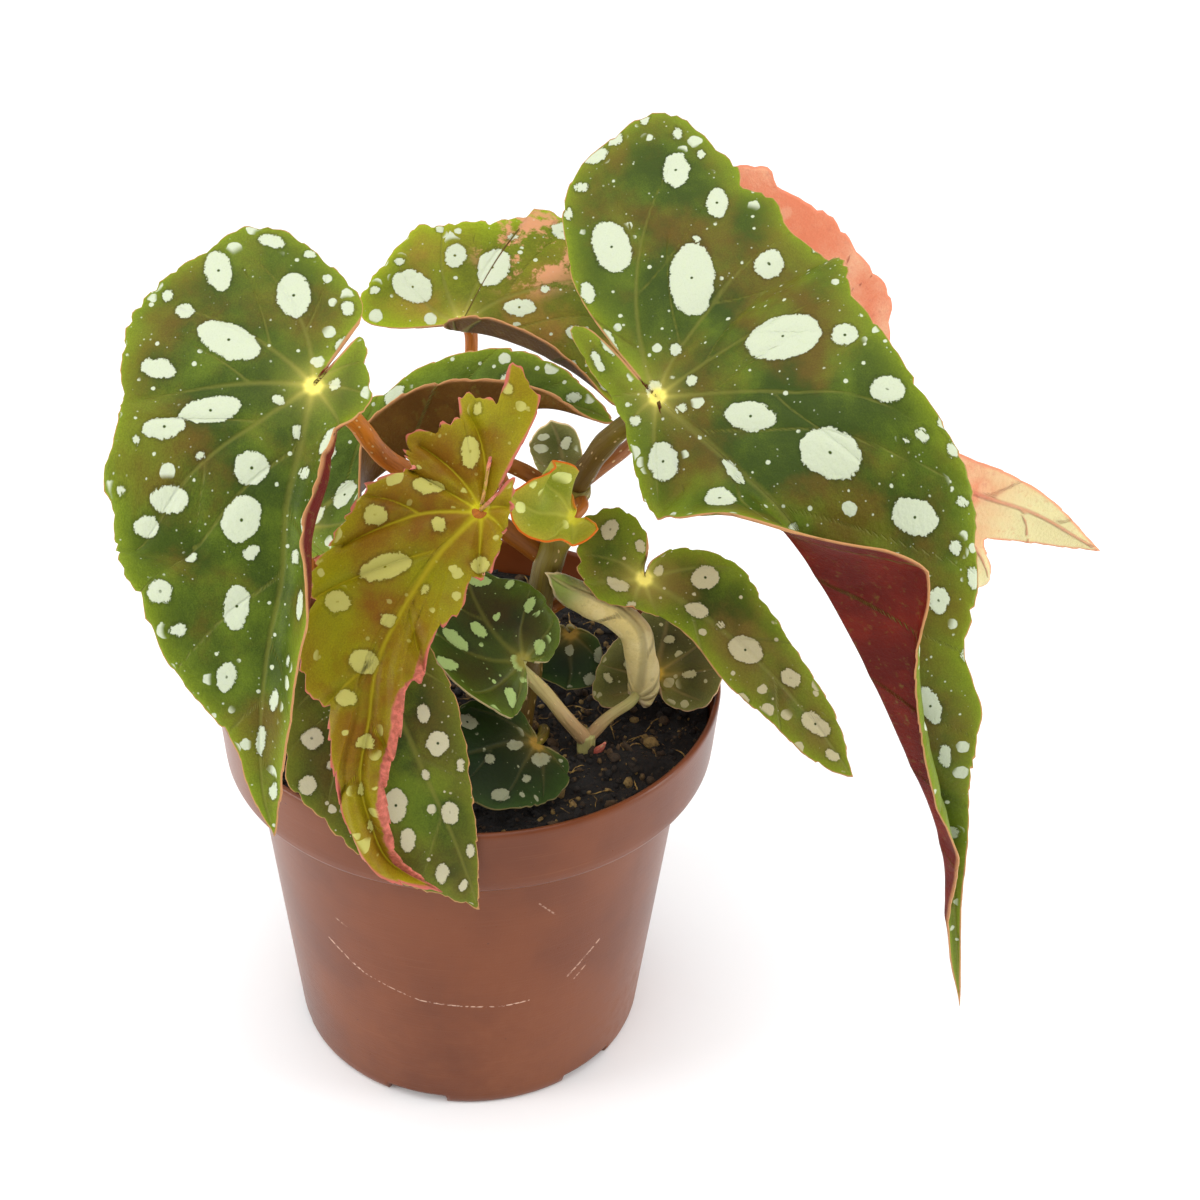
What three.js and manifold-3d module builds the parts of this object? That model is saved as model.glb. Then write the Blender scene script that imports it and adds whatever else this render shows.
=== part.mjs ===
// A polka dot begonia in a nursery pot. Millimetres, +Z up.
// The origin is the centre of the pot's flat underside, and the plant's front faces -Y.
import * as THREE from 'three';
import { mergeVertices } from 'three/addons/utils/BufferGeometryUtils.js';
import Module from 'manifold-3d';

const wasm = await Module();
wasm.setup();

// ---- driving dimensions ----

const gap = 0.3; // clearance between pieces that touch

const pot = {
  height: 101,
  rimRadius: 60,
  bandHeight: 17.5,
  bandFootRadius: 58.8,
  shoulderRadius: 52.5,
  baseRadius: 43.5,
  wall: 1.4,
  floor: 1.6,
  sides: 52,
  slots: 6,
  slotWidth: 15,
  slotHeight: 3,
  slotDepth: 9,
  slotTurn: -108, // degrees from +X to the first drainage slot
};

const soil = {
  level: 94,
  edgeDrop: 2,
  lump: 0.9,
  rings: 7,
  sides: 36,
  holeDepth: 14,
};

const bladeThickness = 0.8;
const foldSteps = 24; // steps of the sum that bends a half of a blade
const petioleSeat = bladeThickness / 2 + 1.5 * gap;

// ---- small helpers ----

const vector = (p) => new THREE.Vector3(p[0], p[1], p[2] ?? 0);
const spline = (points) => new THREE.CatmullRomCurve3(points.map(vector), false, 'catmullrom', 0.5);
const radians = THREE.MathUtils.degToRad;

// Value at x of a table of [x, value] pairs, held level past its ends.
function reading(table, x) {
  if (x <= table[0][0]) return table[0][1];
  for (let i = 1; i < table.length; i += 1) {
    const [x0, v0] = table[i - 1];
    const [x1, v1] = table[i];
    if (x <= x1) return v0 + ((v1 - v0) * (x - x0)) / (x1 - x0);
  }
  return table[table.length - 1][1];
}

function toManifold(geometry) {
  const bare = geometry.clone();
  bare.deleteAttribute('normal');
  bare.deleteAttribute('uv');
  const merged = mergeVertices(bare, 1e-4);
  return new wasm.Manifold(new wasm.Mesh({
    numProp: 3,
    vertProperties: new Float32Array(merged.attributes.position.array),
    triVerts: new Uint32Array(merged.index.array),
  }));
}

function toGeometry(solid) {
  const mesh = solid.getMesh();
  const geometry = new THREE.BufferGeometry();
  geometry.setAttribute('position', new THREE.BufferAttribute(mesh.vertProperties, 3));
  geometry.setIndex(new THREE.BufferAttribute(mesh.triVerts, 1));
  return geometry;
}

// ---- leaf blades ----
//
// A blade is described flat: x runs along the midrib from the petiole point (x = 0) to the tip,
// and s is the distance from the midrib, outward on the wide and on the narrow half.
// In space the midrib is a spline, and each half is carried sideways from it along an arc whose
// angle is the sum of a fold at the midrib, a curl that grows outward, and a roll at the margin.

const towardViewer = [-0.05, -0.8, 0.6];

const blades = {
  leaf_right: {
    spine: [[32, -14, 195], [39, -25, 190], [52, -42, 185], [64, -54, 178], [78, -61, 157],
      [91, -64, 132], [104, -62, 102], [110, -58, 73], [116, -53, 41]],
    face: [towardViewer, towardViewer, towardViewer, towardViewer, towardViewer,
      [-0.2, -0.8, 0.5], [-0.3, -0.85, 0.4], [-0.4, -0.85, 0.3], [-0.5, -0.8, 0.2]],
    wide: [[-6, -0.4], [-18, -1], [-33, 0], [-43, 4], [-51, 8], [-58, 16], [-60, 26], [-61, 34],
      [-59, 40], [-53, 43], [-44, 44], [-37, 45], [-32, 43], [-26, 47], [-18, 45], [-11, 47],
      [4, 49], [14, 44], [25, 42], [39, 38], [54, 36], [64, 32], [73, 27], [79, 22], [84, 18],
      [92, 17], [99, 16], [110, 10], [122, 6], [146, 2], [191, 0]],
    narrow: [[-6, 0.6], [-22, 2.5], [-26, 6], [-16, 8], [-7, 8], [-2, 9], [2, 11], [9, 15],
      [15, 18], [20, 18.5], [24, 17], [29, 17], [34, 18], [40, 21], [46, 24], [53, 26], [62, 25],
      [70, 20], [80, 16], [95, 13], [110, 11], [130, 8], [155, 4], [191, 0]],
    wideOnLeft: true,
    foldWide: [[100, 0], [140, 20]],
    foldNarrow: [[0, -8], [20, -8], [26, 20], [34, 60], [42, 90], [50, 120], [58, 140], [110, 140],
      [170, 130]],
    curlWide: [[0, -15]],
    crease: 3.5,
    rollNarrow: [[55, 0], [64, -70], [76, -120], [110, -120], [130, 0]],
    rollSpan: 5,
    grid: [59, 8],
    tone: 'leafGreen',
  },
  leaf_left: {
    spine: [[-28, -42, 211], [-30, -50, 206], [-32, -58, 199], [-35, -66, 188], [-36, -72, 176],
      [-39, -77, 163], [-41, -81, 147], [-41, -84, 134], [-39, -86, 123]],
    face: [[-0.1, -0.85, 0.5]],
    wide: [[-5, -1.7], [-12, -4], [-18, -5.8], [-23, -3], [-28, 4], [-33, 13], [-33, 21],
      [-29, 26], [-24, 30], [-20, 34], [-10, 39], [-2, 39], [8, 37], [19, 36], [24, 37],
      [29, 34], [44, 32], [50, 26], [61, 18], [67, 11], [74, 5], [82, 3], [94, 0]],
    narrow: [[-4, 1.9], [-8, 3.8], [-13, 7], [-5, 10], [0, 12], [6, 11], [9, 9.5], [20, 16],
      [40, 15], [55, 12], [75, 8], [94, 0]],
    wideOnLeft: false,
    foldNarrow: [[0, 5], [8, 10], [14, 50], [30, 65], [60, 58]],
    curlWide: [[0, -12]],
    rollNarrow: [[4, 0], [9, 90], [25, 90], [45, 0]],
    rollSpan: 6,
    grid: [47, 6],
    tone: 'leafGreen',
  },
  leaf_back: {
    spine: [[-10, 52, 168], [-2, 50, 168], [8, 44, 169], [21, 34, 168], [30, 24, 166], [35, 18, 163]],
    face: [[-0.05, -0.75, 0.66]],
    wide: [[-4, -0.8], [-16, -3], [-24, -2], [-26, 4], [-21, 14], [-15, 23], [-9, 24], [-2, 26],
      [3, 27], [8, 30], [10, 32], [28, 28], [38, 18], [45, 8], [49, 0]],
    narrow: [[-3, 1.5], [-4, 4], [0, 7], [10, 9], [25, 8], [40, 4], [49, 0]],
    wideOnLeft: true,
    foldNarrow: [[0, 110]],
    crease: 3,
    grid: [39, 6],
    tone: 'leafGreen',
  },
  leaf_arched: {
    spine: [[-42, 8, 132], [-39, 10, 136], [-28, 14, 144], [-16, 18, 151], [-5, 20, 157],
      [7, 18, 163], [18, 14, 167], [27, 8, 168], [33, 4, 167]],
    face: [[-0.3, -0.5, 0.8]],
    wide: [[-3, 1], [-6, 6], [-3, 14], [8, 20], [18, 21], [32, 15], [41, 16], [58, 14], [72, 7],
      [86, 0]],
    narrow: [[-3, 1], [-6, 4], [-3, 10], [8, 14], [20, 17], [40, 18], [60, 12], [78, 5], [86, 0]],
    wideOnLeft: true,
    foldWide: [[0, 10], [40, 20]],
    foldNarrow: [[0, 0], [12, 30], [25, 110], [50, 120]],
    grid: [37, 6],
    tone: 'leafGreen',
  },
  leaf_young: {
    spine: [[7, -30, 175], [2, -36, 169], [-6, -42, 163], [-13, -49, 155], [-19, -56, 145],
      [-21, -62, 134], [-23, -66, 122], [-21, -68, 111], [-17, -69, 101], [-6, -69, 93]],
    face: [towardViewer],
    wide: [[-7, -1.1], [-27, 1], [-31, 10], [-26, 9], [-22, 10], [-22, 14], [-19, 16], [-15, 14],
      [-10, 18], [-8, 21], [-5, 21], [5, 18], [10, 20], [12, 22], [15, 20], [18, 21], [23, 20],
      [29, 21], [33, 18], [39, 17], [45, 15], [51, 9], [58, 7], [65, 5], [72, 5], [80, 4],
      [88, 3], [100, 0]],
    narrow: [[-5, 1.2], [-10, 2.6], [-5, 5], [1, 8], [5, 10], [10, 11], [14, 9], [21, 11],
      [26, 9], [32, 9], [40, 10], [45, 7], [55, 7], [70, 5], [84, 3], [100, 0]],
    wideOnLeft: false,
    ruffle: 1,
    ruffles: 11,
    grid: [57, 6],
    tone: 'leafYoung',
  },
  leaf_front_right: {
    spine: [[36, -2, 136], [40, -6, 132], [53, -12, 126], [67, -18, 116], [80, -24, 103],
      [89, -30, 92]],
    face: [[0.1, -0.7, 0.7]],
    wide: [[-5, -4], [-9, -7], [-16, -6], [-19, -2], [-20, 3], [-17, 7], [-10, 12], [-3, 12],
      [0, 9], [4, 7], [10, 6], [18, 6.5], [28, 9], [37, 9], [44, 8], [55, 7], [63, 4], [68, 0]],
    narrow: [[-1, 2], [-2, 5], [0, 9], [5, 12], [10, 14], [16, 15], [25, 12], [35, 9], [45, 7],
      [55, 5], [68, 0]],
    wideOnLeft: false,
    grid: [43, 5],
    tone: 'leafGreen',
  },
  leaf_front_low: {
    spine: [[-26, -36, 144], [-21, -42, 138], [-15, -50, 126], [-9, -57, 114], [-3, -63, 101],
      [2, -66, 85]],
    face: [[-0.1, -0.75, 0.6]],
    wide: [[-4, 2], [-12, 8], [-10, 14], [2, 21], [14, 26], [20, 28], [28, 25], [36, 22],
      [49, 16], [57, 7], [63, 0]],
    narrow: [[-4, 1.8], [-12, 6], [-4, 11], [5, 12], [15, 13], [26, 11], [36, 8], [49, 4], [63, 0]],
    wideOnLeft: false,
    grid: [39, 5],
    tone: 'leafGreen',
  },
  leaf_back_right: {
    spine: [[70, 42, 160], [80, 40, 153], [96, 42, 142], [113, 46, 130], [131, 50, 120],
      [148, 55, 111], [169, 62, 95]],
    face: [[0.3, 0.8, -0.3]],
    wide: [[-5, 0.6], [-20, 3], [-36, 19], [-49, 33], [-47, 37], [-42, 40], [-37, 38], [-24, 40],
      [-11, 37], [1, 34], [9, 25], [21, 14], [38, 9], [55, 8], [65, 8], [84, 5], [109, 0]],
    narrow: [[-4, 1], [-12, 6], [-8, 20], [10, 26], [30, 30], [50, 31], [68, 28], [83, 23],
      [72, 14], [70, 11], [82, 9], [96, 5], [109, 0]],
    wideOnLeft: false,
    grid: [49, 5],
    tone: 'leafPink',
  },
  leaf_bowl: {
    spine: [[15, -20, 115], [12, -20, 119], [7, -18, 123], [3, -14, 127], [0, -8, 131], [0, -1, 134]],
    face: [[0, -0.45, 0.9]],
    wide: [[-3, 2], [-6, 6], [-5, 13], [3, 18], [14, 17], [23, 12], [27, 5], [29, 0]],
    narrow: [[-3, 1.8], [-6, 5], [-4, 11], [5, 15], [15, 14], [23, 9], [27, 4], [29, 0]],
    wideOnLeft: true,
    curlWide: [[0, 50]],
    curlNarrow: [[0, 55]],
    rollNarrow: [[-4, 0], [4, -120], [20, -120]],
    rollSpan: 4,
    grid: [33, 6],
    tone: 'leafGreen',
  },
  leaf_rolled: {
    spine: [[36, -11, 97], [39, -12, 103], [40, -13, 113], [39, -12, 121], [34, -10, 126],
      [28, -8, 128], [22, -7, 130.5], [17, -6.5, 134]],
    face: [[0.3, 0.8, -0.6], [0.3, 0.8, -0.6], [-0.1, 0.8, -0.6], [-0.3, 0.8, -0.6],
      [-0.3, 0.7, -0.7], [-0.3, 0.7, -0.7], [-0.2, 0.7, -0.7], [-0.2, 0.7, -0.7]],
    wide: [[-1, 1.5], [-2, 4], [5, 8], [18, 9], [32, 8], [42, 4], [48, 0]],
    narrow: [[-1, 1.5], [-2, 4], [5, 8], [18, 9], [32, 8], [42, 4], [48, 0]],
    wideOnLeft: true,
    curlWide: [[0, 150]],
    curlNarrow: [[0, 150]],
    curlPower: 1,
    grid: [33, 5],
    tone: 'leafPale',
  },
  leaf_under: {
    spine: [[42, -11, 100], [44, -5, 104], [46, 3, 106.5], [48, 11, 109.5], [50, 18, 112.5]],
    face: [[-0.12, -0.33, 0.93]],
    wide: [[-3, 1.5], [-7, 4], [-8, 10], [-4, 15], [5, 16], [14, 13], [21, 6], [25, 0]],
    narrow: [[-3, 1.2], [-7, 3], [-11, 9], [-8, 14], [2, 14], [12, 10], [20, 5], [25, 0]],
    wideOnLeft: false,
    grid: [29, 4],
    tone: 'leafOlive',
  },
  leaf_shade: {
    spine: [[24, 6, 112], [24, 5, 109], [24, 3, 104], [24, 0, 100], [23, -3, 97.5]],
    face: [[0, -0.6, 0.8]],
    wide: [[-1, 1], [-2, 3], [2, 8], [9, 10], [14, 8], [16, 0]],
    narrow: [[-1, 1], [-1, 3], [2, 7], [8, 8], [13, 6], [16, 0]],
    wideOnLeft: false,
    grid: [21, 4],
    tone: 'leafDeep',
  },
  leaf_soil: {
    spine: [[18, -27, 101], [15, -29, 102], [8, -33, 105], [1, -37, 106], [-6, -40, 106],
      [-11, -42, 105]],
    face: [[0, -0.42, 0.91]],
    wide: [[-2, 0.8], [-6, 6], [-3, 11], [1, 15], [9, 17], [17, 16], [21, 13], [25, 8], [28, 4],
      [30, 0]],
    narrow: [[-1, 1.2], [-1, 4], [1, 9], [6, 12], [12, 13], [18, 11], [25, 6], [30, 0]],
    wideOnLeft: true,
    grid: [29, 4],
    tone: 'leafDeep',
  },
  leaf_crown: {
    spine: [[25, -12, 154], [23, -13, 153], [19, -15, 155], [14, -17, 157], [8, -18, 162]],
    face: [[-0.15, -0.7, 0.7]],
    wide: [[-2, 1.5], [-3, 5], [1, 8], [8, 8], [14, 5], [18, 0]],
    narrow: [[-2, 1.5], [-3, 6], [1, 11], [8, 13], [14, 8], [18, 0]],
    wideOnLeft: true,
    curlWide: [[0, 70]],
    curlNarrow: [[0, 70]],
    grid: [23, 4],
    tone: 'leafYoung',
  },
  stipule: {
    spine: [[22, 7, 146], [22, 7, 150], [21, 7, 156], [20, 6, 162], [18, 4, 168]],
    face: [[-0.2, -0.8, 0.5]],
    wide: [[0, 1.5], [2, 5], [7, 7], [13, 7], [18, 4], [20, 0]],
    narrow: [[0, 1.5], [4, 4.5], [9, 5], [16, 4], [20, 0]],
    wideOnLeft: true,
    grid: [19, 4],
    tone: 'leafPale',
  },
};

// The midrib's place and its along, face and side directions at x, carried straight on past its ends.
function makeMidrib(blade) {
  const perSegment = 24;
  const steps = perSegment * (blade.spine.length - 1);
  const faces = blade.face.length > 1 ? blade.face : blade.spine.map(() => blade.face[0]);
  const places = spline(blade.spine).getPoints(steps);
  const normals = spline(faces).getPoints(steps);
  const run = [0];
  for (let i = 1; i <= steps; i += 1) run.push(run[i - 1] + places[i].distanceTo(places[i - 1]));
  const start = run[perSegment];
  const tangentAt = (i) => places[Math.min(i + 1, steps)].clone()
    .sub(places[Math.max(i - 1, 0)]).normalize();

  return {
    length: run[steps] - start,
    at(x) {
      const q = x + start;
      let i = 1;
      while (i < steps && run[i] < q) i += 1;
      const t = THREE.MathUtils.clamp((q - run[i - 1]) / (run[i] - run[i - 1]), 0, 1);
      const along = tangentAt(i - 1).lerp(tangentAt(i), t).normalize();
      const place = places[i - 1].clone().lerp(places[i], t);
      place.addScaledVector(along, Math.min(q, 0) + Math.max(q - run[steps], 0));
      const face = normals[i - 1].clone().lerp(normals[i], t);
      face.addScaledVector(along, -face.dot(along)).normalize();
      return { place, along, face, left: face.clone().cross(along) };
    },
  };
}

// Greatest distance s of a half's margin from the midrib at each whole millimetre of x.
function marginReach(margin) {
  const points = spline(margin).getPoints(margin.length * 60);
  const reach = new Map();
  for (const p of points) reach.set(Math.round(p.x), Math.max(p.y, reach.get(Math.round(p.x)) ?? 0.5));
  return [...reach].sort((a, b) => a[0] - b[0]);
}

// The flat outline's points, evenly spaced from the wide side's sinus round the tip to the other.
function flatOutline(blade, count) {
  const wide = spline(blade.wide);
  const narrow = spline(blade.narrow);
  const share = wide.getLength() / (wide.getLength() + narrow.getLength());
  const wideCount = Math.round(share * (count - 1));
  const rows = wide.getSpacedPoints(wideCount).map((p) => ({ x: p.x, s: p.y, isWide: true }));
  const back = narrow.getSpacedPoints(count - 1 - wideCount).reverse().slice(1);
  return rows.concat(back.map((p) => ({ x: p.x, s: p.y, isWide: false })));
}

// Middle surface of a blade: rings from the petiole point (ring 0) out to the margin.
function bladeRings(blade, midrib) {
  const [count, rings] = blade.grid;
  const stretch = midrib.length / blade.wide[blade.wide.length - 1][0];
  const sideways = {};
  for (const half of ['Wide', 'Narrow']) {
    const margin = blade[half.toLowerCase()];
    sideways[half] = {
      fold: blade[`fold${half}`] ?? [[0, 0]],
      curl: blade[`curl${half}`] ?? [[0, 0]],
      roll: blade[`roll${half}`] ?? [[0, 0]],
      width: Math.max(...margin.map((p) => p[1])),
      reach: marginReach(margin),
    };
  }
  const crease = blade.crease ?? 5;
  const span = blade.rollSpan ?? 5;

  function place(flatX, s, isWide, ring, along) {
    const x = flatX > 0 ? flatX * stretch : flatX;
    const half = sideways[isWide ? 'Wide' : 'Narrow'];
    const fold = radians(reading(half.fold, x));
    const curl = radians(reading(half.curl, x));
    const roll = radians(reading(half.roll, x));
    const rollStart = reading(half.reach, flatX) - span;
    const distance = Math.abs(s);
    let sideStep = 0;
    let rise = 0;
    for (let k = 0; k < foldSteps; k += 1) {
      const q = (distance * (k + 0.5)) / foldSteps;
      const angle = fold * Math.min(1, q / crease)
        + curl * (q / half.width) ** (blade.curlPower ?? 2)
        + roll * THREE.MathUtils.clamp((q - rollStart) / span, 0, 1);
      sideStep += Math.cos(angle) / foldSteps;
      rise += Math.sin(angle) / foldSteps;
    }
    const frame = midrib.at(x);
    const turn = isWide === blade.wideOnLeft ? 1 : -1;
    const point = frame.place.clone()
      .addScaledVector(frame.left, turn * s * sideStep)
      .addScaledVector(frame.face, distance * rise);
    const ends = Math.min(1, 5 * Math.min(along, 1 - along));
    const wave = (blade.ruffle ?? 0) * ring ** 3 * ends
      * Math.sin(2 * Math.PI * (blade.ruffles ?? 0) * along + 0.6);
    return point.addScaledVector(frame.face, wave);
  }

  const outline = flatOutline(blade, count);
  const surface = [[place(0, 0, true, 0, 0)]];
  for (let k = 1; k <= rings; k += 1) {
    const ring = k / rings;
    surface.push(outline.map((p, i) => place(p.x * ring, p.s * ring, p.isWide, ring, i / (count - 1))));
  }
  return surface;
}

// A closed solid around the middle surface, the same triangles on both faces.
function bladeGeometry(blade, midrib) {
  const rings = bladeRings(blade, midrib);
  const points = rings.flat();
  const count = blade.grid[0];
  const last = rings.length - 1;
  const index = (ring, i) => (ring === 0 ? 0 : 1 + (ring - 1) * count + i);
  const faces = [];
  for (let i = 0; i < count - 1; i += 1) {
    faces.push([0, index(1, i + 1), index(1, i)]);
    for (let ring = 1; ring < last; ring += 1) {
      faces.push([index(ring, i), index(ring, i + 1), index(ring + 1, i)]);
      faces.push([index(ring, i + 1), index(ring + 1, i + 1), index(ring + 1, i)]);
    }
  }
  if (!blade.wideOnLeft) faces.forEach((f) => f.reverse());

  const middle = new THREE.BufferGeometry().setFromPoints(points);
  middle.setIndex(faces.flat());
  middle.computeVertexNormals();
  const normal = middle.attributes.normal;
  const half = bladeThickness / 2;
  const upper = points.map((p, i) => p.clone()
    .addScaledVector(new THREE.Vector3().fromBufferAttribute(normal, i), half));
  const lower = points.map((p, i) => p.clone()
    .addScaledVector(new THREE.Vector3().fromBufferAttribute(normal, i), -half));

  const edge = [0];
  for (let ring = 1; ring <= last; ring += 1) edge.push(index(ring, 0));
  for (let i = 1; i < count; i += 1) edge.push(index(last, i));
  for (let ring = last - 1; ring > 0; ring -= 1) edge.push(index(ring, count - 1));
  if (blade.wideOnLeft) edge.reverse();

  const total = points.length;
  const solid = faces.flat();
  for (const [a, b, c] of faces) solid.push(a + total, c + total, b + total);
  edge.forEach((a, i) => {
    const b = edge[(i + 1) % edge.length];
    solid.push(a, a + total, b, b, a + total, b + total);
  });
  const geometry = new THREE.BufferGeometry().setFromPoints(upper.concat(lower));
  geometry.setIndex(solid);
  return geometry;
}

const midribs = Object.fromEntries(Object.entries(blades).map(([name, b]) => [name, makeMidrib(b)]));

// Points behind a leaf's petiole point, where its petiole arrives square to the underside.
function seatOf(name, approach) {
  const { place, face } = midribs[name].at(0);
  return [approach, petioleSeat].map((d) => place.clone().addScaledVector(face, -d).toArray());
}

// ---- stems ----
//
// Each shoot stands in a plain hole in the soil, and its petioles are joined to it.

const shoots = {
  shoot_main: [
    { radius: 3.6, foot: true, path: [[11, -15, 96], [13, -11, 108], [17, -1, 128], [22, 1, 145],
      [24, -2, 155]] },
    { radius: 2.6, path: [[24, -2, 155], [30, -6, 168], [36, -13, 178], ...seatOf('leaf_right', 7)] },
    { radius: 1.5, path: [[23, 0, 152], [34, 9, 156], [44, 20, 158], [62, 34, 158],
      ...seatOf('leaf_back_right', 6)] },
    { radius: 2.1, path: [[18, 2, 132], [2, 1, 146], [-9, -10, 160], [-18, -21, 173], [-24, -34, 190],
      ...seatOf('leaf_left', 7)] },
    { radius: 1.8, path: [[22, 1, 148], [12, 0, 157], [4, -11, 165], ...seatOf('leaf_young', 6)] },
    { radius: 1.5, path: [[14, -6, 118], [19, 1, 119], [27, 1, 124], [35, 3, 126],
      ...seatOf('leaf_front_right', 6)] },
    { radius: 1.7, path: [[18, 3, 134], [8, 24, 139], [1, 44, 152], ...seatOf('leaf_back', 7)] },
    { radius: 1.4, path: [[24, -2, 152], [25, -7, 152], ...seatOf('leaf_crown', 3)] },
    { radius: 1.2, path: [[20, 1, 140], [22, 6, 144], ...seatOf('stipule', 2)] },
  ],
  shoot_left: [
    { radius: 1.8, foot: true, path: [[-30, 12, 96], [-33, 14, 110], [-37, 14, 122],
      ...seatOf('leaf_arched', 8)] },
  ],
  shoot_front: [
    { radius: 1.8, foot: true, path: [[-6, -18, 96], [-8, -22, 108], [-14, -32, 124],
      ...seatOf('leaf_front_low', 7)] },
  ],
  shoot_low: [
    { radius: 2.2, foot: true, path: [[27, -20, 96], [27, -20, 98]] },
    { radius: 1.6, path: [[27, -20, 96], [22, -22, 104], [17, -20, 110], ...seatOf('leaf_bowl', 4)] },
    { radius: 1.3, path: [[27, -20, 96], [32, -18, 101], ...seatOf('leaf_rolled', 4)] },
  ],
  shoot_right: [
    { radius: 1.4, foot: true, path: [[42, 2, 95.5], [43, 0, 98], ...seatOf('leaf_under', 3)] },
  ],
  shoot_shade: [
    { radius: 1.3, foot: true, path: [[24, 16, 95.5], [24, 13, 102], ...seatOf('leaf_shade', 4)] },
  ],
  shoot_soil: [
    { radius: 1.3, foot: true, path: [[17, -16, 95.5], [17, -20, 97.5], ...seatOf('leaf_soil', 3)] },
  ],
};

function roundSection(radius, sides) {
  const shape = new THREE.Shape();
  for (let i = 0; i < sides; i += 1) {
    const turn = (2 * Math.PI * i) / sides;
    const [x, y] = [radius * Math.cos(turn), radius * Math.sin(turn)];
    if (i === 0) shape.moveTo(x, y);
    else shape.lineTo(x, y);
  }
  return shape.closePath();
}

function stemTube(stem) {
  const path = stem.foot
    ? [[stem.path[0][0], stem.path[0][1], soil.level - soil.holeDepth + gap], ...stem.path]
    : stem.path;
  return new THREE.ExtrudeGeometry(roundSection(stem.radius, 8), {
    steps: 2 * (path.length - 1),
    bevelEnabled: false,
    extrudePath: spline(path),
  });
}

function shootGeometry(stems) {
  const tubes = stems.map((stem) => toManifold(stemTube(stem)));
  return toGeometry(tubes.reduce((whole, tube) => whole.add(tube)));
}

// ---- pot and soil ----

const bandFoot = pot.height - pot.bandHeight;

const ledge = bandFoot + pot.wall;
const insideWall = [
  [pot.floor, pot.baseRadius - pot.wall],
  [ledge, pot.shoulderRadius - pot.wall],
  [ledge + pot.wall, pot.bandFootRadius - pot.wall],
  [pot.height - 1, pot.rimRadius - pot.wall],
];
const insideRadius = (height) => reading(insideWall, height);

function turned(profile, sides) {
  const points = profile.map(([radius, height]) => new THREE.Vector2(radius, height));
  const geometry = new THREE.LatheGeometry(points, sides);
  geometry.rotateX(Math.PI / 2);
  return geometry;
}

function potGeometry() {
  const chamfer = 0.5;
  const shell = turned([
    [0, 0],
    [pot.baseRadius - 1.5, 0],
    [pot.baseRadius, 1.5],
    [pot.shoulderRadius, bandFoot],
    [pot.bandFootRadius - chamfer, bandFoot],
    [pot.bandFootRadius, bandFoot + chamfer],
    [pot.rimRadius, pot.height - 1],
    [pot.rimRadius - pot.wall / 2, pot.height],
    ...insideWall.toReversed().map(([height, radius]) => [radius, height]),
    [0, pot.floor],
  ], pot.sides);
  let solid = toManifold(shell);
  for (let i = 0; i < pot.slots; i += 1) {
    const slot = new THREE.BoxGeometry(2 * pot.slotDepth, pot.slotWidth, 2 * pot.slotHeight);
    slot.translate(pot.baseRadius, 0, 0);
    slot.rotateZ(radians(pot.slotTurn + (360 * i) / pot.slots));
    solid = solid.subtract(toManifold(slot));
  }
  return toGeometry(solid);
}

// Height of the soil's top: level in the middle, lower at the wall, with lumps.
function soilHeight(x, y) {
  const radius = Math.hypot(x, y);
  const edge = insideRadius(soil.level);
  const lumps = Math.sin(x / 4.1 + 1) * Math.cos(y / 3.7) + 0.6 * Math.sin(x / 2.3 - y / 2.9);
  const clod = 2.2 * Math.exp(-((x - 37) ** 2 + (y + 24) ** 2) / 30);
  return soil.level - soil.edgeDrop * (radius / edge) ** 4 + soil.lump * lumps + clod;
}

function soilGeometry() {
  const top = soil.level - soil.edgeDrop - 2.5;
  const inset = gap + 0.1;
  const side = [
    [insideRadius(pot.floor) - 2, pot.floor + gap],
    [insideRadius(ledge) - inset, ledge + inset],
    [insideRadius(ledge + pot.wall) - inset, ledge + pot.wall + inset],
    [insideRadius(top) - inset, top],
  ];
  const points = [new THREE.Vector3(0, 0, pot.floor + gap)];
  const ringOf = (radius, height) => {
    for (let i = 0; i < soil.sides; i += 1) {
      const turn = (2 * Math.PI * i) / soil.sides;
      const [x, y] = [radius * Math.cos(turn), radius * Math.sin(turn)];
      points.push(new THREE.Vector3(x, y, height ?? soilHeight(x, y)));
    }
  };
  side.forEach(([radius, height]) => ringOf(radius, height));
  const edge = insideRadius(top) - inset;
  for (let k = 0; k < soil.rings; k += 1) ringOf(edge * (1 - k / soil.rings));
  points.push(new THREE.Vector3(0, 0, soilHeight(0, 0)));

  const rows = side.length + soil.rings;
  const index = (row, i) => 1 + row * soil.sides + (i % soil.sides);
  const crown = points.length - 1;
  const faces = [];
  for (let i = 0; i < soil.sides; i += 1) {
    faces.push(0, index(0, i + 1), index(0, i));
    for (let row = 0; row < rows - 1; row += 1) {
      faces.push(index(row, i), index(row, i + 1), index(row + 1, i));
      faces.push(index(row, i + 1), index(row + 1, i + 1), index(row + 1, i));
    }
    faces.push(index(rows - 1, i), index(rows - 1, i + 1), crown);
  }
  const bulk = new THREE.BufferGeometry().setFromPoints(points);
  bulk.setIndex(faces);
  let solid = toManifold(bulk);
  for (const stem of Object.values(shoots).flat().filter((s) => s.foot)) {
    const width = stem.radius + 2 * gap;
    const hole = new THREE.CylinderGeometry(width, width, 2 * soil.holeDepth, 12);
    hole.rotateX(Math.PI / 2);
    hole.translate(stem.path[0][0], stem.path[0][1], soil.level);
    solid = solid.subtract(toManifold(hole));
  }
  return toGeometry(solid);
}

// ---- the whole plant ----

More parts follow.
